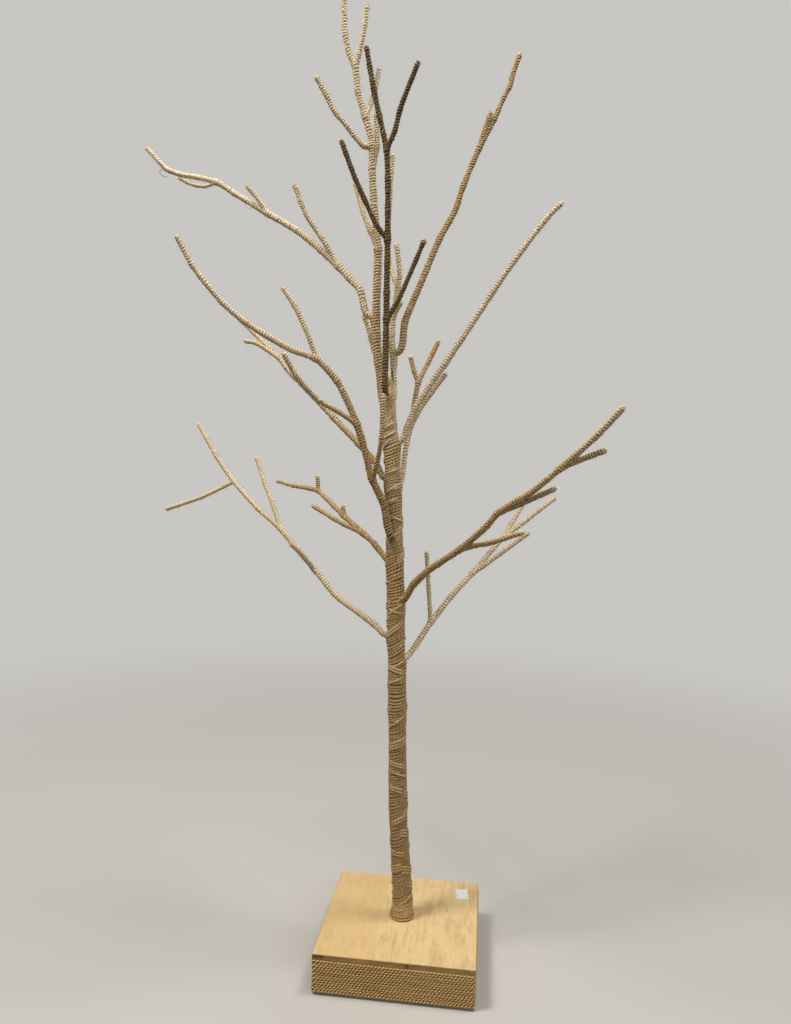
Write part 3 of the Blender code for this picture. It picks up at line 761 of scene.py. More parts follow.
class Finish:
    """A material and short ways to add nodes to it."""

    def __init__(self, name):
        self.material = bpy.data.materials.new(name)
        self.material.use_nodes = True
        self.tree = self.material.node_tree
        self.shader = self.tree.nodes["Principled BSDF"]

    def node(self, kind, values=None, **settings):
        made = self.tree.nodes.new(kind)
        for key, value in settings.items():
            setattr(made, key, value)
        for key, value in (values or {}).items():
            self.feed(made.inputs[key], value)
        return made

    def feed(self, socket, value):
        if isinstance(value, bpy.types.NodeSocket):
            self.tree.links.new(value, socket)
        else:
            socket.default_value = value

    def place(self, scale=(1.0, 1.0, 1.0), source="Object"):
        """The piece's own coordinates, stretched by a scale."""
        spot = self.node("ShaderNodeTexCoord").outputs[source]
        return self.node("ShaderNodeMapping", {"Vector": spot, "Scale": scale}).outputs["Vector"]

    def uv(self, name, scale):
        spot = self.node("ShaderNodeUVMap", uv_map=name).outputs["UV"]
        return self.node("ShaderNodeMapping", {"Vector": spot, "Scale": scale}).outputs["Vector"]

    def noise(self, vector, scale, detail=4.0, roughness=0.55, distortion=0.0):
        made = self.node("ShaderNodeTexNoise", {
            "Vector": vector, "Scale": scale, "Detail": detail, "Roughness": roughness,
            "Distortion": distortion,
        })
        return made.outputs["Fac"]

    def ramp(self, value, low, high, smooth=True):
        """Stretch a value between low and high to the range 0 to 1."""
        kind = "SMOOTHSTEP" if smooth else "LINEAR"
        made = self.node("ShaderNodeMapRange", {"Value": value, "From Min": low, "From Max": high},
                         interpolation_type=kind)
        return made.outputs["Result"]

    def math(self, operation, a, b=0.0):
        made = self.node("ShaderNodeMath", operation=operation)
        self.feed(made.inputs[0], a)
        self.feed(made.inputs[1], b)
        return made.outputs[0]

    def mix(self, share, a, b, kind="MIX"):
        made = self.node("ShaderNodeMix", data_type="RGBA", blend_type=kind)
        self.feed(made.inputs["Factor"], share)
        for name, value in (("A", a), ("B", b)):
            socket = next(s for s in made.inputs if s.name == name and s.type == "RGBA")
            self.feed(socket, value if isinstance(value, bpy.types.NodeSocket) else (*value, 1.0))
        return next(s for s in made.outputs if s.type == "RGBA")

    def bump(self, height, strength, distance):
        made = self.node("ShaderNodeBump", {
            "Height": height, "Strength": strength, "Distance": distance,
        })
        self.feed(self.shader.inputs["Normal"], made.outputs["Normal"])

    def surface(self, colour, roughness, **sockets):
        self.feed(self.shader.inputs["Base Color"], colour)
        self.feed(self.shader.inputs["Roughness"], roughness)
        for name, value in sockets.items():
            self.feed(self.shader.inputs[name.replace("_", " ")], value)
        return self.material


def twine_finish(name, colours, pale_and_painted_light):
    """Jute: pale with painted highlights on the crowns, brown with painted shade in the crevices, and
    further painted light and painted shade from its light value.
    """
    made = Finish(name)
    crown = made.node("ShaderNodeAttribute", attribute_name="crown").outputs["Fac"]
    streaks = made.noise(made.uv("twine", (260.0, 9.0, 1.0)), 1.0, 3.0, 0.6)
    flecks = made.noise(made.uv("twine", (700.0, 4.0, 1.0)), 1.0, 2.0, 0.5)
    cloud = made.noise(made.place(), 42.0, 3.0, 0.5)
    broad = made.noise(made.place(), 11.0, 2.0, 0.5)
    pale, mid, dark = colours
    # Painted highlight and painted shade from the crown value: dark in the crevices between turns, pale on
    # the outer side of each turn.
    height = made.math("ADD", crown, made.math("MULTIPLY", made.math("SUBTRACT", streaks, 0.5), 0.5))
    body = made.mix(made.ramp(height, 0.44, 0.84), dark, mid)
    body = made.mix(made.ramp(height, 0.80, 1.26), body, pale)
    golden = tuple(c * k for c, k in zip(mid, (1.30, 1.02, 0.72)))
    grey = tuple(c * k for c, k in zip(mid, (0.94, 1.02, 1.10)))
    body = made.mix(made.math("MULTIPLY", made.ramp(cloud, 0.50, 0.72), 0.40), body, golden)
    body = made.mix(made.math("MULTIPLY", made.ramp(broad, 0.48, 0.66), 0.38), body, grey)
    body = made.mix(made.math("MULTIPLY", made.ramp(flecks, 0.62, 0.80), 0.45), body, pale)
    # Painted light and painted shade: high values mix towards the pale lit colour, whose crevices get their
    # own painted shade, and values below zero multiply the twine darker.
    tone_and_painted_light = made.node("ShaderNodeAttribute", attribute_name="tone_and_painted_light").outputs["Fac"]
    patchy = made.math("ADD", tone_and_painted_light, made.math("MULTIPLY", made.math("SUBTRACT", broad, 0.5), 0.5))
    painted_crevice_shade = tuple(c * k for c, k in zip(pale_and_painted_light, (0.60, 0.48, 0.34)))
    light = made.mix(made.ramp(height, 0.36, 1.00), painted_crevice_shade, pale_and_painted_light)
    body = made.mix(made.ramp(patchy, 0.05, 1.0, smooth=False), body, light)
    # Painted shade: below zero the twine is multiplied darker.
    shade = made.ramp(patchy, -0.05, -1.0, smooth=False)
    body = made.mix(shade, body, made.mix(1.0, body, (0.30, 0.27, 0.24), "MULTIPLY"))
    rough = made.ramp(streaks, -1.0, 2.4, smooth=False)
    made.bump(made.math("ADD", streaks, made.math("MULTIPLY", flecks, 0.5)), 0.6, 0.0004)
    return made.surface(body, made.math("ADD", rough, 0.42), Sheen_Weight=0.25, Sheen_Roughness=0.45)


def fibre_finish(pale):
    made = Finish("Loose jute fibre")
    tone = made.ramp(made.noise(made.place(), 160.0, 2.0), 0.35, 0.60)
    colour = made.mix(tone, pale, (0.92, 0.87, 0.74))
    return made.surface(colour, 0.8, Sheen_Weight=0.2)


def plank_finish(name, colours, streaky, offset):
    """Pale wood with grain from front to back, soft figure, and a browner front edge with its rings."""
    pale, warm, edge = colours
    made = Finish(name)
    spot = made.node("ShaderNodeTexCoord").outputs["Object"]
    shifted = made.node("ShaderNodeMapping", {"Vector": spot, "Location": (offset, offset, 0.0)})
    vector = shifted.outputs["Vector"]
    wander = made.noise(made.node("ShaderNodeMapping", {"Vector": vector, "Scale": (18.0, 5.0, 5.0)})
                        .outputs["Vector"], 1.0, 3.0)
    bent = made.node("ShaderNodeVectorMath", operation="ADD")
    made.feed(bent.inputs[0], vector)
    swing = made.node("ShaderNodeCombineXYZ", {"X": made.math("MULTIPLY", wander, 0.009)})
    made.feed(bent.inputs[1], swing.outputs[0])

    def grain(scale, stretch, detail, roughness=0.55):
        mapped = made.node("ShaderNodeMapping", {
            "Vector": bent.outputs[0], "Scale": (scale, scale / stretch, scale / stretch),
        })
        return made.noise(mapped.outputs["Vector"], 1.0, detail, roughness)

    figure = grain(130.0, 4.0, 3.0)
    mottle = grain(75.0, 1.6, 2.0)
    lines = grain(420.0, 22.0, 4.0, 0.65)
    pores = grain(1500.0, 14.0, 2.0)
    strength = 0.42 + 0.36 * streaky
    top = made.mix(made.math("MULTIPLY", made.ramp(figure, 0.42, 0.70), strength), pale, warm)
    top = made.mix(made.math("MULTIPLY", made.ramp(mottle, 0.50, 0.72), 0.35), top,
                   tuple(min(1.0, c * 1.12) for c in pale))
    dark = tuple(c * 0.72 for c in warm)
    top = made.mix(made.math("MULTIPLY", made.ramp(lines, 0.56, 0.75), 0.28 + 0.30 * streaky), top, dark)
    top = made.mix(made.math("MULTIPLY", made.ramp(pores, 0.63, 0.80), 0.30), top, dark)
    knots = made.node("ShaderNodeTexVoronoi", {
        "Vector": made.node("ShaderNodeMapping", {"Vector": bent.outputs[0], "Scale": (1.0, 0.5, 1.0)})
        .outputs["Vector"], "Scale": 26.0,
    }).outputs["Distance"]
    top = made.mix(made.math("MULTIPLY", made.ramp(knots, 0.10, 0.02), 0.45 * streaky), top, dark)

    normal = made.node("ShaderNodeSeparateXYZ", {
        "Vector": made.node("ShaderNodeTexCoord").outputs["Normal"],
    })
    frontness = made.ramp(made.math("ABSOLUTE", normal.outputs["Y"]), 0.60, 0.85)
    sideness = made.ramp(made.math("ABSOLUTE", normal.outputs["X"]), 0.60, 0.85)
    where = made.node("ShaderNodeSeparateXYZ", {"Vector": spot})
    rings = made.noise(made.node("ShaderNodeMapping", {"Vector": spot, "Scale": (150.0, 1.0, 700.0)})
                       .outputs["Vector"], 1.0, 4.0, 0.6, 0.6)
    blotch = made.noise(made.node("ShaderNodeMapping", {"Vector": spot, "Scale": (38.0, 1.0, 90.0)})
                        .outputs["Vector"], 1.0, 2.0)
    end = made.mix(made.ramp(rings, 0.35, 0.72), tuple(c * 0.78 for c in edge),
                   tuple(c * 1.30 for c in edge))
    end = made.mix(made.math("MULTIPLY", made.ramp(blotch, 0.45, 0.70), 0.6), end,
                   tuple(c * k for c, k in zip(edge, (1.45, 1.50, 1.6))))
    burnt = made.ramp(where.outputs["X"], -BASE_HALF + 0.017, -BASE_HALF + 0.010)
    high = made.ramp(where.outputs["Z"], BASE_TOP - 0.0058, BASE_TOP - 0.0044)
    end = made.mix(made.math("MULTIPLY", made.math("MULTIPLY", burnt, high), 0.80), end,
                   tuple(c * 0.33 for c in edge))
    across = made.math("SUBTRACT", where.outputs["X"], 0.0165)
    up = made.math("SUBTRACT", where.outputs["Z"], BASE_TOP - 0.0036)
    away = made.math("SQRT", made.math("ADD", made.math("MULTIPLY", across, across),
                                       made.math("MULTIPLY", up, up)))
    knot = made.ramp(made.math("ADD", away, made.math("MULTIPLY", rings, 0.0012)), 0.0042, 0.0018)
    end = made.mix(made.math("MULTIPLY", knot, 0.8), end, (0.22, 0.075, 0.030))
    colour = made.mix(frontness, top, end)
    colour = made.mix(made.math("MULTIPLY", sideness, 0.55), colour, edge)
    worn = made.ramp(where.outputs["Z"], BASE_TOP - 0.0009, BASE_TOP - 0.0001)
    colour = made.mix(made.math("MULTIPLY", made.math("MULTIPLY", worn, frontness), 0.35), colour, pale)
    made.bump(made.math("ADD", lines, made.math("MULTIPLY", pores, 0.6)), 0.22, 0.0003)
    rough = made.math("ADD", made.math("MULTIPLY", figure, 0.16), 0.40)
    return made.surface(colour, rough, Specular_IOR_Level=0.4)


def sawn_finish(name, colour):
    """Plain sawn wood of the hidden boards."""
    made = Finish(name)
    grain = made.noise(made.place((30.0, 6.0, 260.0)), 1.0, 4.0, 0.6)
    tone = made.mix(made.ramp(grain, 0.35, 0.70), tuple(c * 1.25 for c in colour),
                    tuple(c * 0.7 for c in colour))
    made.bump(grain, 0.4, 0.0004)
    return made.surface(tone, 0.75)


def metal_finish(name, colour, rough):
    """Drawn or rolled steel, with faint scratches and duller patches."""
    made = Finish(name)
    scratches = made.noise(made.place((90.0, 90.0, 1400.0)), 1.0, 3.0)
    dull = made.noise(made.place(), 130.0, 3.0)
    tone = made.mix(made.ramp(dull, 0.45, 0.75), colour, tuple(c * 0.6 for c in colour))
    made.bump(scratches, 0.25, 0.0001)
    spread = made.math("ADD", made.math("MULTIPLY", dull, 0.25), rough)
    return made.surface(tone, spread, Metallic=1.0)


def felt_finish():
    made = Finish("Dark felt")
    fuzz = made.noise(made.place(), 2600.0, 3.0, 0.7)
    wear = made.noise(made.place(), 60.0, 2.0)
    colour = made.mix(fuzz, (0.010, 0.009, 0.009), (0.055, 0.050, 0.046))
    colour = made.mix(made.math("MULTIPLY", made.ramp(wear, 0.5, 0.8), 0.3), colour, (0.09, 0.08, 0.07))
    made.bump(fuzz, 0.8, 0.0004)
    return made.surface(colour, 0.95, Sheen_Weight=0.3)


def plaster_finish():
    made = Finish("Cast plaster")
    cloud = made.noise(made.place(), 45.0, 4.0)
    cells = made.node("ShaderNodeTexVoronoi", {"Vector": made.place(), "Scale": 380.0})
    pits = cells.outputs["Distance"]
    colour = made.mix(cloud, (0.66, 0.64, 0.60), (0.50, 0.48, 0.45))
    # Painted shade: the pits are darker than the plaster round them.
    colour = made.mix(made.ramp(pits, 0.16, 0.02), colour, (0.33, 0.31, 0.29))
    made.bump(made.ramp(pits, 0.0, 0.25), 0.5, 0.0005)
    return made.surface(colour, 0.9)


def paper_finish(colour):
    """Coated paper, blank but for a faint grey smudge of worn print."""
    made = Finish("Label paper")
    fibre = made.noise(made.place(), 900.0, 3.0)
    smudge = made.noise(made.place((1.0, 1.4, 1.0)), 190.0, 2.0)
    tone = made.mix(made.math("MULTIPLY", fibre, 0.25), colour, tuple(c * 0.9 for c in colour))
    tone = made.mix(made.math("MULTIPLY", made.ramp(smudge, 0.52, 0.66), 0.35), tone, (0.52, 0.56, 0.64))
    made.bump(fibre, 0.1, 0.0001)
    return made.surface(tone, 0.42)


def floor_finish(colour, bounce, surround):
    """A pale floor that lights the tree only softly and fades into the surroundings a little way off."""
    made = Finish("Pale floor")
    spot = made.place()
    cloud = made.noise(spot, 6.0, 3.0)
    tone = made.mix(made.math("MULTIPLY", cloud, 0.08), colour, tuple(c * 0.92 for c in colour))
    off = made.node("ShaderNodeVectorMath", {0: spot}, operation="LENGTH").outputs["Value"]
    fade = made.ramp(off, 0.35, 1.9)
    seen = made.node("ShaderNodeLightPath").outputs["Is Camera Ray"]
    tone = made.mix(seen, bounce, tone)
    made.feed(made.shader.inputs["Emission Color"], (*surround, 1.0))
    made.feed(made.shader.inputs["Emission Strength"], made.math("MULTIPLY", fade, seen))
    return made.surface(made.mix(fade, tone, (0.0, 0.0, 0.0)), 0.75, Specular_IOR_Level=0.0)


def surround_world(seen, ambient):
    """A plain surround that the camera sees, and a dimmer one that lights the tree."""
    world = bpy.data.worlds.new("Surround")
    world.use_nodes = True
    tree = world.node_tree
    light = tree.nodes["Background"]
    light.inputs["Color"].default_value = (*ambient, 1.0)
    plain = tree.nodes.new("ShaderNodeBackground")
    plain.inputs["Color"].default_value = (*seen, 1.0)
    path = tree.nodes.new("ShaderNodeLightPath")
    mixed = tree.nodes.new("ShaderNodeMixShader")
    tree.links.new(path.outputs["Is Camera Ray"], mixed.inputs[0])
    tree.links.new(light.outputs[0], mixed.inputs[1])
    tree.links.new(plain.outputs[0], mixed.inputs[2])
    tree.links.new(mixed.outputs[0], tree.nodes["World Output"].inputs["Surface"])
    return world


def jute_finishes(name, colours, tint=(1.0, 1.0, 1.0)):
    """A twine finish, and the loose fibre finish that all the twine pieces share."""
    jute = (colours.twine_pale, colours.twine_mid, colours.twine_dark, colours.twine_pale_and_painted_light)
    *tones, pale_and_painted_light = (tuple(c * k for c, k in zip(tone, tint)) for tone in jute)
    loose = bpy.data.materials.get("Loose jute fibre") or fibre_finish(tones[0])
    return twine_finish(name, tones, pale_and_painted_light), loose


def wear_finish(node, finish):
    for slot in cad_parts[node].material_slots:
        slot.material = finish


# ---------------------------------------------------------------- pieces


def bearer_at(limb):
    """The middle and the radius of what bears a limb, where the limb leaves it."""
    if limb.bearer == "trunk":
        return trunk_axis(limb.grip), trunk_radius(limb.grip)
    bearer = LIMBS[limb.bearer]
    points = bent_run(limb_root(bearer), bearer.heading, bearer.lean, bearer.run)
    return point_at_rise(points, limb.grip), bearer.root_r


def inner_start(limb, root):
    """Where a limb's twine begins, hidden inside what bears it."""
    if limb.bearer == "trunk_top":
        return root + compass(limb.facing, -0.002) - Vector((0.0, 0.0, 3.0 * ROOT_DROP))
    middle, reach = bearer_at(limb)
    return middle + compass(limb.facing, ROOT_REST * reach) - Vector((0.0, 0.0, ROOT_DROP))


def limb_mesh(name, limb, sizes):
    """The twine on a limb and its twigs, from inside what bears it out to the tips."""
    rng = np.random.default_rng(list(LIMBS).index(name) + 11)
    mesh = TwineMesh(rng)
    root = limb_root(limb)
    main = bent_run(root, limb.heading, limb.lean, limb.run)
    line, along = rounded_line([inner_start(limb, root), *main])
    length = along[-1]
    slim = limb.root_r + (TWIG_R - limb.root_r) * along / length - LIMB_TRIM
    girth = slim + 0.00025 * drift(rng, along, 0.009)
    forks = {twig.fork for twig in limb.twigs}
    bulges = root_bulges(borne_by(name), line, along)
    for number, point in enumerate(main[1:-1], start=1):
        size = FORK_SWELL if number in forks else BEND_SWELL * rng.uniform(0.2, 1.6)
        girth = girth + size * np.exp(-(((along - nearest(line, along, point)) / SWELL_REACH) ** 2))
    for twig in limb.twigs:
        out, up = twig.run[0]
        toward = unit(np.array(tuple(compass(twig.heading, out) + Vector((0.0, 0.0, up)))))
        spot = nearest(line, along, main[twig.fork])
        bulges.append(Bulge(spot + 0.002, toward, 0.0014, 0.006, 0.005))
    # Painted light and painted shade along the limb's twine, from its root value to its tip value; each
    # twig starts from the value where it leaves the limb.
    low, high = LIMB_PAINTED_LIGHT[name]
    runs = [(framed(line, along, rounded_tip(along, girth)), sizes.limb_pitch, bulges, (low, high))]
    for twig in limb.twigs:
        points = bent_run(main[twig.fork], twig.heading, 0.0, twig.run)
        twig_line, twig_along = rounded_line(points)
        thick = float(np.interp(nearest(line, along, main[twig.fork]), along, slim))
        thin = TWIG_R - LIMB_TRIM
        share = np.minimum(twig_along / (TWIG_NECK * thick), 1.0)
        twig_girth = (thick + (thin - thick) * share) * THIN_TWIGS.get((name, twig.fork), 1.0)
        twig_girth = twig_girth + 0.0002 * drift(rng, twig_along, 0.008)
        for point in points[1:-1]:
            gap = twig_along - nearest(twig_line, twig_along, point)
            swell = BEND_SWELL * rng.uniform(0.2, 1.5)
            twig_girth = twig_girth + swell * np.exp(-((gap / SWELL_REACH) ** 2))
        twig_run = framed(twig_line, twig_along, rounded_tip(twig_along, twig_girth))
        start = low + (high - low) * nearest(line, along, main[twig.fork]) / length
        runs.append((twig_run, sizes.twig_pitch, (), (start, (start + high) / 2)))
    for run, pitch, shoulders, tone_and_painted_light in runs:
        wind_limb(mesh, run, pitch, shoulders, tone_and_painted_light, sizes, rng)
    return mesh


def wind_limb(mesh, run, pitch, bulges, tone_and_painted_light, sizes, rng):
    """Turns, a few strands that cross them, a filling and fibres for one run of a limb."""
    length = float(run.along[-1])
    mesh.add_fill(run, pitch * sizes.plumpness * 0.62, tone_and_painted_light)
    turns = wound(run, pitch, sizes.plumpness, sizes.stretch, rng, slant=0.0011, wander=0.018,
                  bulges=bulges)
    share = np.linspace(0.0, 1.0, len(turns.centre))
    tip = np.exp(-(((1.0 - share) * length / TIP_FADE) ** 2))
    # Painted light and painted shade run from the limb's root value to its tip value, and the last few
    # millimetres are paler still.
    pale = tone_and_painted_light[0] + (tone_and_painted_light[1] - tone_and_painted_light[0]) * share + TIP_PALENESS * tip
    mesh.add_strand(turns, sizes.lay, tone_and_painted_light=pale)
    for place in np.arange(0.012, length - 0.020, 0.026):
        place = place + rng.uniform(-0.008, 0.008)
        rise = rng.uniform(0.006, 0.013) * rng.choice((-1.0, 1.0))
        rise = min(rise, length - 0.006 - place)
        strand = crossing(run, place, rise, rng.uniform(0.45, 0.9), rng.uniform(0.0, math.tau),
                          pitch * 0.72, sizes.plumpness, 0.00035, sizes.stretch)
        there = float(np.interp(place / length, (0.0, 1.0), tone_and_painted_light)) + CROSSING_PALENESS
        mesh.add_strand(strand, sizes.lay, tone_and_painted_light=there)
    count = max(3, round(length / sizes.fibre_spacing))
    mesh.add_fibres(fibres_on(turns, count, sizes.fibre_length, rng), rng)
    tail = Strand(*(rows[-30:] for rows in turns))
    mesh.add_fibres(fibres_on(tail, 60, sizes.fibre_length * 0.45, rng), rng)


def root_bulges(names, line, along):
    """Shoulders under the limbs that leave a run."""
    made = []
    for name in names:
        limb = LIMBS[name]
        root = limb_root(limb)
        toward = np.array(tuple(compass(limb.facing, 1.0)))
        made.append(Bulge(nearest(line, along, root) - 0.005, toward, limb.root_r * 0.55, 0.014, 0.005))
    return made


def borne_by(bearer):
    return [name for name, limb in LIMBS.items() if limb.bearer == bearer]


def trunk_mesh(sizes):
    """The twine on the trunk: slanting turns, with bands of strands that cross them."""
    rng = np.random.default_rng(5)
    mesh = TwineMesh(rng)
    points = [trunk_axis(share) for share, _ in TRUNK_SWAY]
    top = points[-1].z
    points.append(points[-1] + Vector((0.001, -0.004, CROWN_RISE)))
    line, along = rounded_line(points)
    body = float(np.interp(top, line[:, 2], along))
    girth = np.interp(along, (0.0, body, along[-1]), (TRUNK_ROOT_R, TRUNK_TOP_R, 0.0042))
    girth = girth + 0.0005 * drift(rng, along, 0.030) + 0.0003 * drift(rng, along, 0.009)
    run = framed(line, along, rounded_tip(along, girth))
    bulges = root_bulges(borne_by("trunk"), line, along)
    pitch = sizes.trunk_pitch
    mesh.add_fill(run, pitch * sizes.plumpness * 0.62)
    turns = wound(run, pitch, sizes.plumpness, sizes.stretch, rng, slant=0.0030, wander=0.045,
                  bulges=bulges, uneven=0.17, tilt=0.0034)
    # The trunk's twine is darker towards its foot as painted shade and paler towards its top as painted
    # light; the strands that cross it grow paler towards the top too.
    mesh.add_strand(turns, sizes.lay, tone_and_painted_light=np.linspace(-0.42, 0.30, len(turns.centre)))
    for place in np.arange(0.006, body - 0.030, 0.0095):
        place = place + rng.uniform(-0.004, 0.004)
        steep = rng.uniform(0.010, 0.030) * (1.0 if rng.uniform() < 0.8 else -0.6)
        round_by = rng.uniform(0.35, 0.62)
        start = rng.uniform(0.0, math.tau)
        width = pitch * rng.uniform(0.68, 0.92)
        for number in range(rng.integers(1, 4)):
            at = place + number * width * 1.12
            rise = min(steep, body - 0.004 - at)
            mesh.add_strand(crossing(run, max(at, 0.001), max(rise, 0.001 - at), round_by, start, width,
                                     sizes.plumpness, pitch * 0.30, sizes.stretch, bulges), sizes.lay,
                                tone_and_painted_light=0.12 + 0.45 * at / body)
    mesh.add_fibres(fibres_on(turns, 700, sizes.fibre_length * 1.1, rng), rng)
    return mesh


def coil_mesh(sizes):
    """The wider turns that flare out round the trunk's foot."""
    rng = np.random.default_rng(3)
    mesh = TwineMesh(rng)
    count = 60
    levels = np.linspace(0.0, COIL_RISE, count)
    line = np.column_stack([np.zeros(count), np.zeros(count), COIL_LOW.z + levels])
    flare = COIL_HIGH.x - TRUNK_ROOT_R
    girth = TRUNK_ROOT_R + 0.0002 + flare * (1.0 - levels / COIL_RISE) ** 1.5
    run = framed(line, levels, girth)
    pitch = sizes.trunk_pitch * 0.9
    mesh.add_fill(run, pitch * sizes.plumpness * 0.62)
    strand = wound(run, pitch, sizes.plumpness, sizes.stretch, rng, slant=0.0012, wander=0.02)
    mesh.add_strand(strand, sizes.lay)
    for place in (0.0015, 0.0035, 0.0065, 0.0095, 0.0120):
        mesh.add_strand(crossing(run, place, rng.uniform(0.004, 0.008), rng.uniform(0.4, 0.7),
                                 rng.uniform(0.0, math.tau), pitch * 0.85, sizes.plumpness, 0.0006,
                                 sizes.stretch), sizes.lay)
    mesh.add_fibres(fibres_on(strand, 90, sizes.fibre_length, rng), rng)
    return mesh


def row_line(out, corner, step):
    """One square turn with rounded corners, from the middle of the back: x, y, outward x, outward y."""
    flat = out - corner
    sides = ((0, 1, flat), (-1, 0, out), (0, -1, out), (1, 0, out), (0, 1, out))
    points = []
    for number, (nx, ny, _) in enumerate(sides):
        tx, ty = -ny, nx
        begin = 0.0 if number == 0 else -flat
        end = 0.0 if number == 4 else flat
        for share in np.arange(begin, end, step):
            points.append((nx * out + tx * share, ny * out + ty * share, nx, ny))
        if number < 4:
            for turn in np.linspace(0.0, math.pi / 2, 6, endpoint=False):
                ox = nx * math.cos(turn) + tx * math.sin(turn)
                oy = ny * math.cos(turn) + ty * math.sin(turn)
                centre = (nx + tx) * flat, (ny + ty) * flat
                points.append((centre[0] + ox * corner, centre[1] + oy * corner, ox, oy))
    return np.array(points)


def winding_mesh(sizes):
    """Rows of twisted twine round the box: one strand that climbs a row at the middle of the back."""
    rng = np.random.default_rng(8)
    mesh = TwineMesh(rng)
    low = SLEEVE_LOW.z + 0.0012
    high = SLEEVE_HIGH.z
    pitch = (high - low) / sizes.base_rows
    thick = pitch * 1.04
    face = BOX_HIGH.y + thick * 0.45
    loop = row_line(face, 0.0032, 0.0012)
    count = len(loop)
    rows = np.tile(loop, (sizes.base_rows, 1))
    place = np.arange(len(rows)) / count
    climb = np.clip((place % 1.0 - 0.955) / 0.045, 0.0, 1.0)
    row = np.floor(place) + climb * climb * (3.0 - 2.0 * climb)
    row = np.minimum(row, sizes.base_rows - 1)
    far = place * 0.75
    wobble = 0.00022 * drift(rng, far, 0.012)
    z = low + pitch * (row + 0.5) + wobble
    push = 0.00025 * drift(rng, far, 0.02)
    outward = np.column_stack([rows[:, 2:], np.zeros(len(rows))])
    centre = np.column_stack([rows[:, :2], z]) + outward * push[:, None]
    size = thick * (1.0 + 0.06 * drift(rng, far, 0.05))
    strand = Strand(centre, outward, size * 1.05, size * 1.02)
    around = float(np.linalg.norm(loop[:, :2] - np.roll(loop[:, :2], 1, axis=0), axis=1).sum())
    lay = around / (round(around / sizes.lay) + ROW_STAGGER)
    mesh.add_strand(strand, lay, sides=10, tone_and_painted_light=0.10, relief=0.30)
    mesh.add_fibres(fibres_on(strand, 520, sizes.fibre_length * 0.6, rng), rng)
    return mesh


def edge_strand_mesh(sizes):
    """Two thin paler strands: over the gap between the rows and the boards, and along the bottom."""
    rng = np.random.default_rng(9)
    mesh = TwineMesh(rng)
    upper = (SLEEVE_HIGH.z - 0.0006, 0.0014, 0.0014)
    lower = (SLEEVE_LOW.z + 0.0007, 0.0017, 0.0010)
    for level, thick, proud in (upper, lower):
        loop = row_line(BOX_HIGH.y + proud, 0.0026, 0.0016)
        loop = np.vstack([loop, loop[:6]])
        outward = np.column_stack([loop[:, 2:], np.zeros(len(loop))])
        far = np.arange(len(loop)) * 0.0016
        z = level + 0.00015 * drift(rng, far, 0.02)
        centre = np.column_stack([loop[:, :2], z])
        size = np.full(len(loop), thick)
        mesh.add_strand(Strand(centre, outward, size, size), sizes.lay * 0.8, tone_and_painted_light=0.55, relief=0.24)
    return mesh


def seam_mesh():
    """A glued seam between the top boards, filled level and sanded, with its slight hollows."""
    rng = np.random.default_rng(6)
    count = SEAM_STEPS
    y = np.linspace(-BASE_HALF + 0.0004, BASE_HALF - 0.0004, count)
    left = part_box("top_plank_left")[1].x
    middle = (left + SEAM_X) / 2
    half = SEAM_WIDTH / 2 * (1.0 + 0.12 * drift(rng, y + BASE_HALF, 0.006))
    sink = 0.00004 * (1.0 + drift(rng, y + BASE_HALF, 0.010))
    profile = ((-1.0, 0.0), (-0.5, 0.4), (0.0, 1.0), (0.5, 0.4), (1.0, 0.0), (0.12, -1.0), (-0.12, -1.0))
    places = []
    for share, level in profile:
        z = BASE_TOP + SEAM_STAND - sink * level
        if level < 0.0:
            z = np.full(count, BASE_TOP - SEAM_DEPTH)
        places.append(np.column_stack([middle + half * share, y, z]))
    grid = np.arange(count * len(profile)).reshape(len(profile), count)
    after = np.roll(grid, -1, axis=0)
    quads = np.stack([grid[:, :-1], after[:, :-1], after[:, 1:], grid[:, 1:]], axis=-1).reshape(-1)
    caps = np.concatenate([grid[::-1, 0], grid[:, -1]])
    sizes = [4] * (len(quads) // 4) + [len(profile)] * 2
    return mesh_from("seam_filling", np.vstack(places), np.concatenate([quads, caps]), np.array(sizes))


def thread_points():
    """A small loop of thread that has come loose near the left high limb's tip."""
    limb = LIMBS["left_high"]
    start = bent_run(limb_root(limb), limb.heading, limb.lean, limb.run)[-2]
    hooks = (
        (0.012, -0.002, -0.004), (0.006, -0.003, -0.005), (-0.001, -0.003, -0.003),
        (-0.006, -0.003, -0.001), (-0.009, -0.003, -0.001), (-0.010, -0.003, -0.004),
        (-0.008, -0.003, -0.007), (-0.004, -0.003, -0.010), (0.000, -0.003, -0.010),
        (0.001, -0.003, -0.008),
    )
    return [start + Vector(hook) for hook in hooks]


# ---------------------------------------------------------------- operators


class TWIGTREE_OT_wood_base(bpy.types.Operator):
    """Finish the boards and the seam between the top ones, the felt and the ballast"""

    bl_idname = "twigtree.wood_base"
    bl_label = "Wooden base"

    def execute(self, context):
        colours = context.scene.twigtree_colours
        wood = tuple(colours.wood_pale), tuple(colours.wood_warm), tuple(colours.edge_brown)
        warm = tuple(c * k for c, k in zip(wood[0], (0.97, 0.93, 0.86)))
        wear_finish("top_plank_left", plank_finish("Left top board", (warm, *wood[1:]), 0.0, 0.31))
        right = plank_finish("Right top board", wood, 1.0, 0.0)
        wear_finish("top_plank_right", right)
        seam = seam_mesh()
        seam.set_sharp_from_angle(angle=math.radians(SHARP_ANGLE))
        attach(piece("seam_filling", seam, (right,)), "stand")
        sawn = sawn_finish("Sawn board", wood[2])
        wear_finish("bottom_board", sawn)
        for side in ("left", "right", "front", "back"):
            wear_finish(f"side_board_{side}", sawn)
        wear_finish("felt_pad", felt_finish())
        wear_finish("ballast_block", plaster_finish())
        return {"FINISHED"}


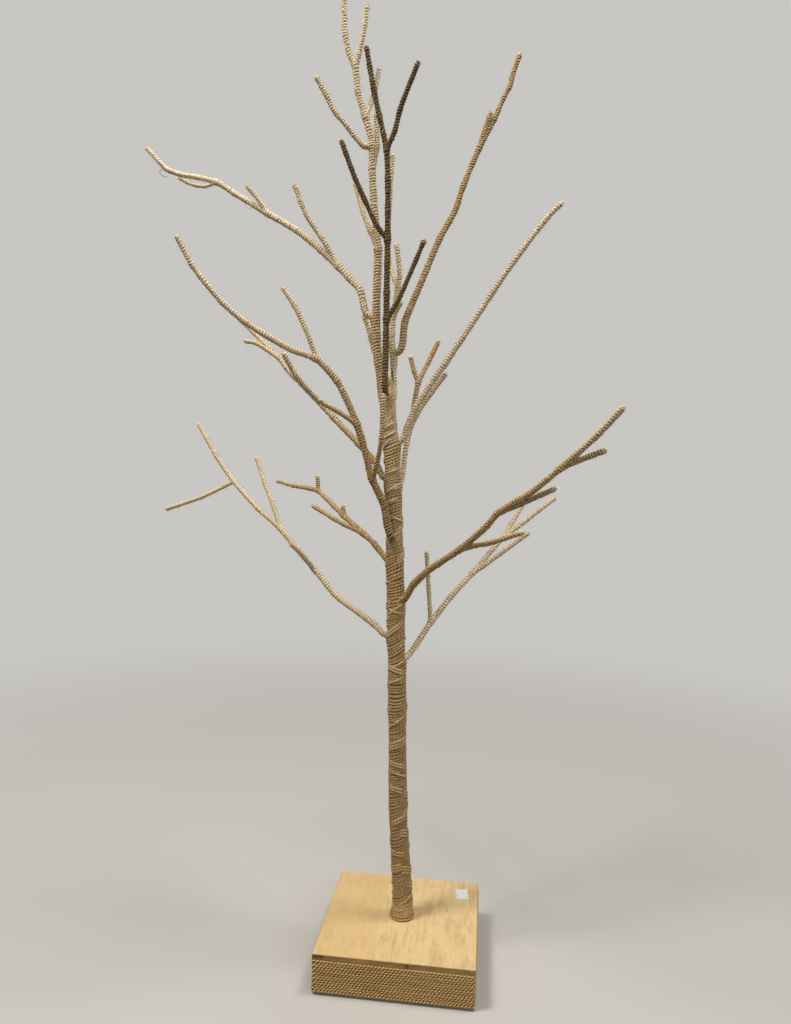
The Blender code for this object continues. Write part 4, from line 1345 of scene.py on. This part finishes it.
class TWIGTREE_OT_metal_parts(bpy.types.Operator):
    """Finish the bolt, washer, screws and the wires inside the limbs"""

    bl_idname = "twigtree.metal_parts"
    bl_label = "Metal parts"

    def execute(self, context):
        zinc = metal_finish("Zinc-plated steel", (0.60, 0.60, 0.58), 0.30)
        wire = metal_finish("Annealed wire", (0.17, 0.165, 0.16), 0.42)
        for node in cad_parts:
            if node in ("trunk_bolt", "bolt_washer") or node.startswith("bottom_screw"):
                wear_finish(node, zinc)
            elif node == "trunk_core" or node.endswith("_wire"):
                wear_finish(node, wire)
        return {"FINISHED"}


class TWIGTREE_OT_base_rows(bpy.types.Operator):
    """Wind the rows of twisted twine round the box"""

    bl_idname = "twigtree.base_rows"
    bl_label = "Base rows"

    def execute(self, context):
        sizes = context.scene.twigtree_sizes
        colours = context.scene.twigtree_colours
        finishes = jute_finishes("Jute base twine", colours, BASE_TINT)
        sleeve = winding_mesh(sizes).build("base_twine_rows", finishes)
        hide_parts("base_winding")
        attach(sleeve, "stand")
        finishes = jute_finishes("Jute edge strand", colours)
        edges = edge_strand_mesh(sizes).build("base_edge_strands", finishes)
        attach(edges, "stand")
        return {"FINISHED"}


class TWIGTREE_OT_trunk_twine(bpy.types.Operator):
    """Wind the trunk and the wider coil at its foot"""

    bl_idname = "twigtree.trunk_twine"
    bl_label = "Trunk twine"

    def execute(self, context):
        sizes = context.scene.twigtree_sizes
        finishes = jute_finishes("Jute trunk twine", context.scene.twigtree_colours)
        for name, mesh, node in (
            ("trunk_twine", trunk_mesh(sizes), "trunk_wrap"),
            ("foot_coil_twine", coil_mesh(sizes), "foot_coil"),
        ):
            made = mesh.build(name, finishes)
            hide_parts(node)
            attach(made, "stand")
        return {"FINISHED"}


class TWIGTREE_OT_limb_twine(bpy.types.Operator):
    """Wind every limb and its twigs, each on the body that bends with it"""

    bl_idname = "twigtree.limb_twine"
    bl_label = "Limb twine"

    def execute(self, context):
        sizes = context.scene.twigtree_sizes
        finishes = jute_finishes("Jute limb twine", context.scene.twigtree_colours)
        for name, limb in LIMBS.items():
            made = limb_mesh(name, limb, sizes).build(name + "_twine", finishes)
            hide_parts(name + "_wrap")
            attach(made, "stand" if name in FIXED_LIMBS else name)
        return {"FINISHED"}


class TWIGTREE_OT_loose_thread(bpy.types.Operator):
    """Hang the small loop of loose thread near the left high limb's tip"""

    bl_idname = "twigtree.loose_thread"
    bl_label = "Loose thread"

    def execute(self, context):
        rng = np.random.default_rng(2)
        line, along = rounded_line(thread_points())
        run = framed(line, along, np.full(len(along), 0.0004))
        size = np.full(len(along), 0.00075)
        mesh = TwineMesh(rng)
        mesh.add_strand(Strand(run.line[::2], run.side[::2], size[::2], size[::2]), 0.0022, sides=6)
        finishes = jute_finishes("Jute thread", context.scene.twigtree_colours, THREAD_TINT)
        made = mesh.build("loose_thread", finishes)
        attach(made, "left_high")
        return {"FINISHED"}


class TWIGTREE_OT_label(bpy.types.Operator):
    """Stick the blank paper label on the right top board"""

    bl_idname = "twigtree.label"
    bl_label = "Label"

    def execute(self, context):
        middle = Vector((*LABEL_PLACE, BASE_TOP))
        turn = Matrix.Rotation(math.radians(LABEL_TURN), 3, "Z")
        columns = LABEL_COLUMNS
        rows = LABEL_ROWS
        layers = []
        for level in (0.0, LABEL_THICK):
            for j in range(rows):
                for i in range(columns):
                    x = i / (columns - 1) - 0.5
                    y = j / (rows - 1) - 0.5
                    corner = max(0.0, x + y - 0.62)
                    lift = 0.00008 + 0.012 * corner * corner + 0.00004 * math.sin(9.0 * x + 4.0 * y)
                    layers.append(middle + turn @ Vector((x * LABEL_WIDE, y * LABEL_DEEP, lift + level)))
        top = columns * rows
        faces = []
        for j in range(rows - 1):
            for i in range(columns - 1):
                a = j * columns + i
                faces.append((a, a + columns, a + columns + 1, a + 1))
                faces.append((top + a, top + a + 1, top + a + columns + 1, top + a + columns))
        rim = list(range(columns))
        rim += [j * columns + columns - 1 for j in range(1, rows)]
        rim += [(rows - 1) * columns + i for i in range(columns - 2, -1, -1)]
        rim += [j * columns for j in range(rows - 2, 0, -1)]
        for a, b in zip(rim, rim[1:] + rim[:1]):
            faces.append((a, b, top + b, top + a))
        mesh = bpy.data.meshes.new("blank_label")
        mesh.from_pydata(layers, [], faces)
        mesh.shade_smooth()
        mesh.set_sharp_from_angle(angle=math.radians(SHARP_ANGLE))
        made = piece("blank_label", mesh, (paper_finish(tuple(context.scene.twigtree_colours.paper)),))
        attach(made, "stand")
        return {"FINISHED"}


class TWIGTREE_OT_studio(bpy.types.Operator):
    """Lay the pale floor and set the soft lamps, the surround and the camera"""

    bl_idname = "twigtree.studio"
    bl_label = "Studio"

    def execute(self, context):
        values = context.scene.twigtree_studio
        floor_mesh = bpy.data.meshes.new("floor")
        corners = [(x * FLOOR_REACH, y * FLOOR_REACH, 0.0) for x, y in ((-1, -1), (1, -1), (1, 1), (-1, 1))]
        floor_mesh.from_pydata(corners, [], [(0, 1, 2, 3)])
        finish = floor_finish(tuple(values.floor), tuple(values.bounce), tuple(values.surround))
        floor = piece("floor", floor_mesh, (finish,))
        context.scene.world = surround_world(tuple(values.surround), tuple(values.ambient))
        aim = Vector((0.0, 0.0, LAMP_AIM))
        lamps = (
            ("key_lamp", (-0.95, -0.55, 2.55), 0.55, values.key_power, (1.0, 0.965, 0.90)),
            ("top_lamp", (0.75, 0.05, 2.65), 0.6, values.top_power, (1.0, 0.97, 0.92)),
            ("fill_lamp", (1.20, -1.80, 1.10), 1.2, values.fill_power, (0.97, 0.98, 1.0)),
        )
        for name, place, size, power, colour in lamps:
            lamp = bpy.data.lights.new(name, "AREA")
            lamp.size = size
            lamp.energy = power
            lamp.color = colour
            item = bpy.data.objects.new(name, lamp)
            item.location = place
            item.rotation_euler = (aim - Vector(place)).to_track_quat("-Z", "Y").to_euler()
            context.scene.collection.objects.link(item)
        camera_at(context.scene, CAMERA_PLACE, CAMERA_TURN, CAMERA_TILT, CAMERA_ROLL, CAMERA_LENS)
        context.scene.view_settings.view_transform = "Standard"
        return {"FINISHED"}


def camera_at(scene, place, turn, tilt, roll, lens):
    """A camera that looks along +Y, then is turned left, tilted up and rolled, in degrees."""
    data = bpy.data.cameras.new("camera")
    data.lens = lens
    data.clip_start = 0.02
    data.clip_end = 60.0
    camera = bpy.data.objects.new("camera", data)
    upright = Matrix.Rotation(math.radians(90.0), 3, "X")
    look = Matrix.Rotation(math.radians(turn), 3, "Z") @ Matrix.Rotation(math.radians(tilt), 3, "X")
    spin = Matrix.Rotation(math.radians(roll), 3, "Z")
    camera.matrix_world = Matrix.Translation(place) @ (look @ upright @ spin).to_4x4()
    scene.collection.objects.link(camera)
    scene.camera = camera


class TWIGTREE_PT_looks(bpy.types.Panel):
    """Sizes, colours and steps of the tree's looks"""

    bl_idname = "TWIGTREE_PT_looks"
    bl_label = "Twig Tree"
    bl_space_type = "VIEW_3D"
    bl_region_type = "UI"
    bl_category = "Twig Tree"

    def draw(self, context):
        scene = context.scene
        for title, values in (
            ("Twine", scene.twigtree_sizes),
            ("Colours", scene.twigtree_colours),
            ("Studio", scene.twigtree_studio),
        ):
            box = self.layout.box()
            box.label(text=title)
            for name in values.__annotations__:
                box.prop(values, name)
        for operator in OPERATORS:
            self.layout.operator(operator.bl_idname)


OPERATORS = (
    TWIGTREE_OT_wood_base,
    TWIGTREE_OT_metal_parts,
    TWIGTREE_OT_base_rows,
    TWIGTREE_OT_trunk_twine,
    TWIGTREE_OT_limb_twine,
    TWIGTREE_OT_loose_thread,
    TWIGTREE_OT_label,
    TWIGTREE_OT_studio,
)
GROUPS = {
    "twigtree_sizes": TwineSizes,
    "twigtree_colours": TreeColours,
    "twigtree_studio": StudioValues,
}


def register():
    for group in (*GROUPS.values(), *OPERATORS, TWIGTREE_PT_looks):
        bpy.utils.register_class(group)
    for name, group in GROUPS.items():
        setattr(bpy.types.Scene, name, PointerProperty(type=group))


def unregister():
    for name in GROUPS:
        delattr(bpy.types.Scene, name)
    for group in (TWIGTREE_PT_looks, *reversed(OPERATORS), *reversed(GROUPS.values())):
        bpy.utils.unregister_class(group)


def main():
    register()
    bpy.ops.twigtree.wood_base()
    bpy.ops.twigtree.metal_parts()
    bpy.ops.twigtree.base_rows()
    bpy.ops.twigtree.trunk_twine()
    bpy.ops.twigtree.limb_twine()
    bpy.ops.twigtree.loose_thread()
    bpy.ops.twigtree.label()
    bpy.ops.twigtree.studio()
    bpy.context.view_layer.update()


if __name__ == "__main__":
    main()
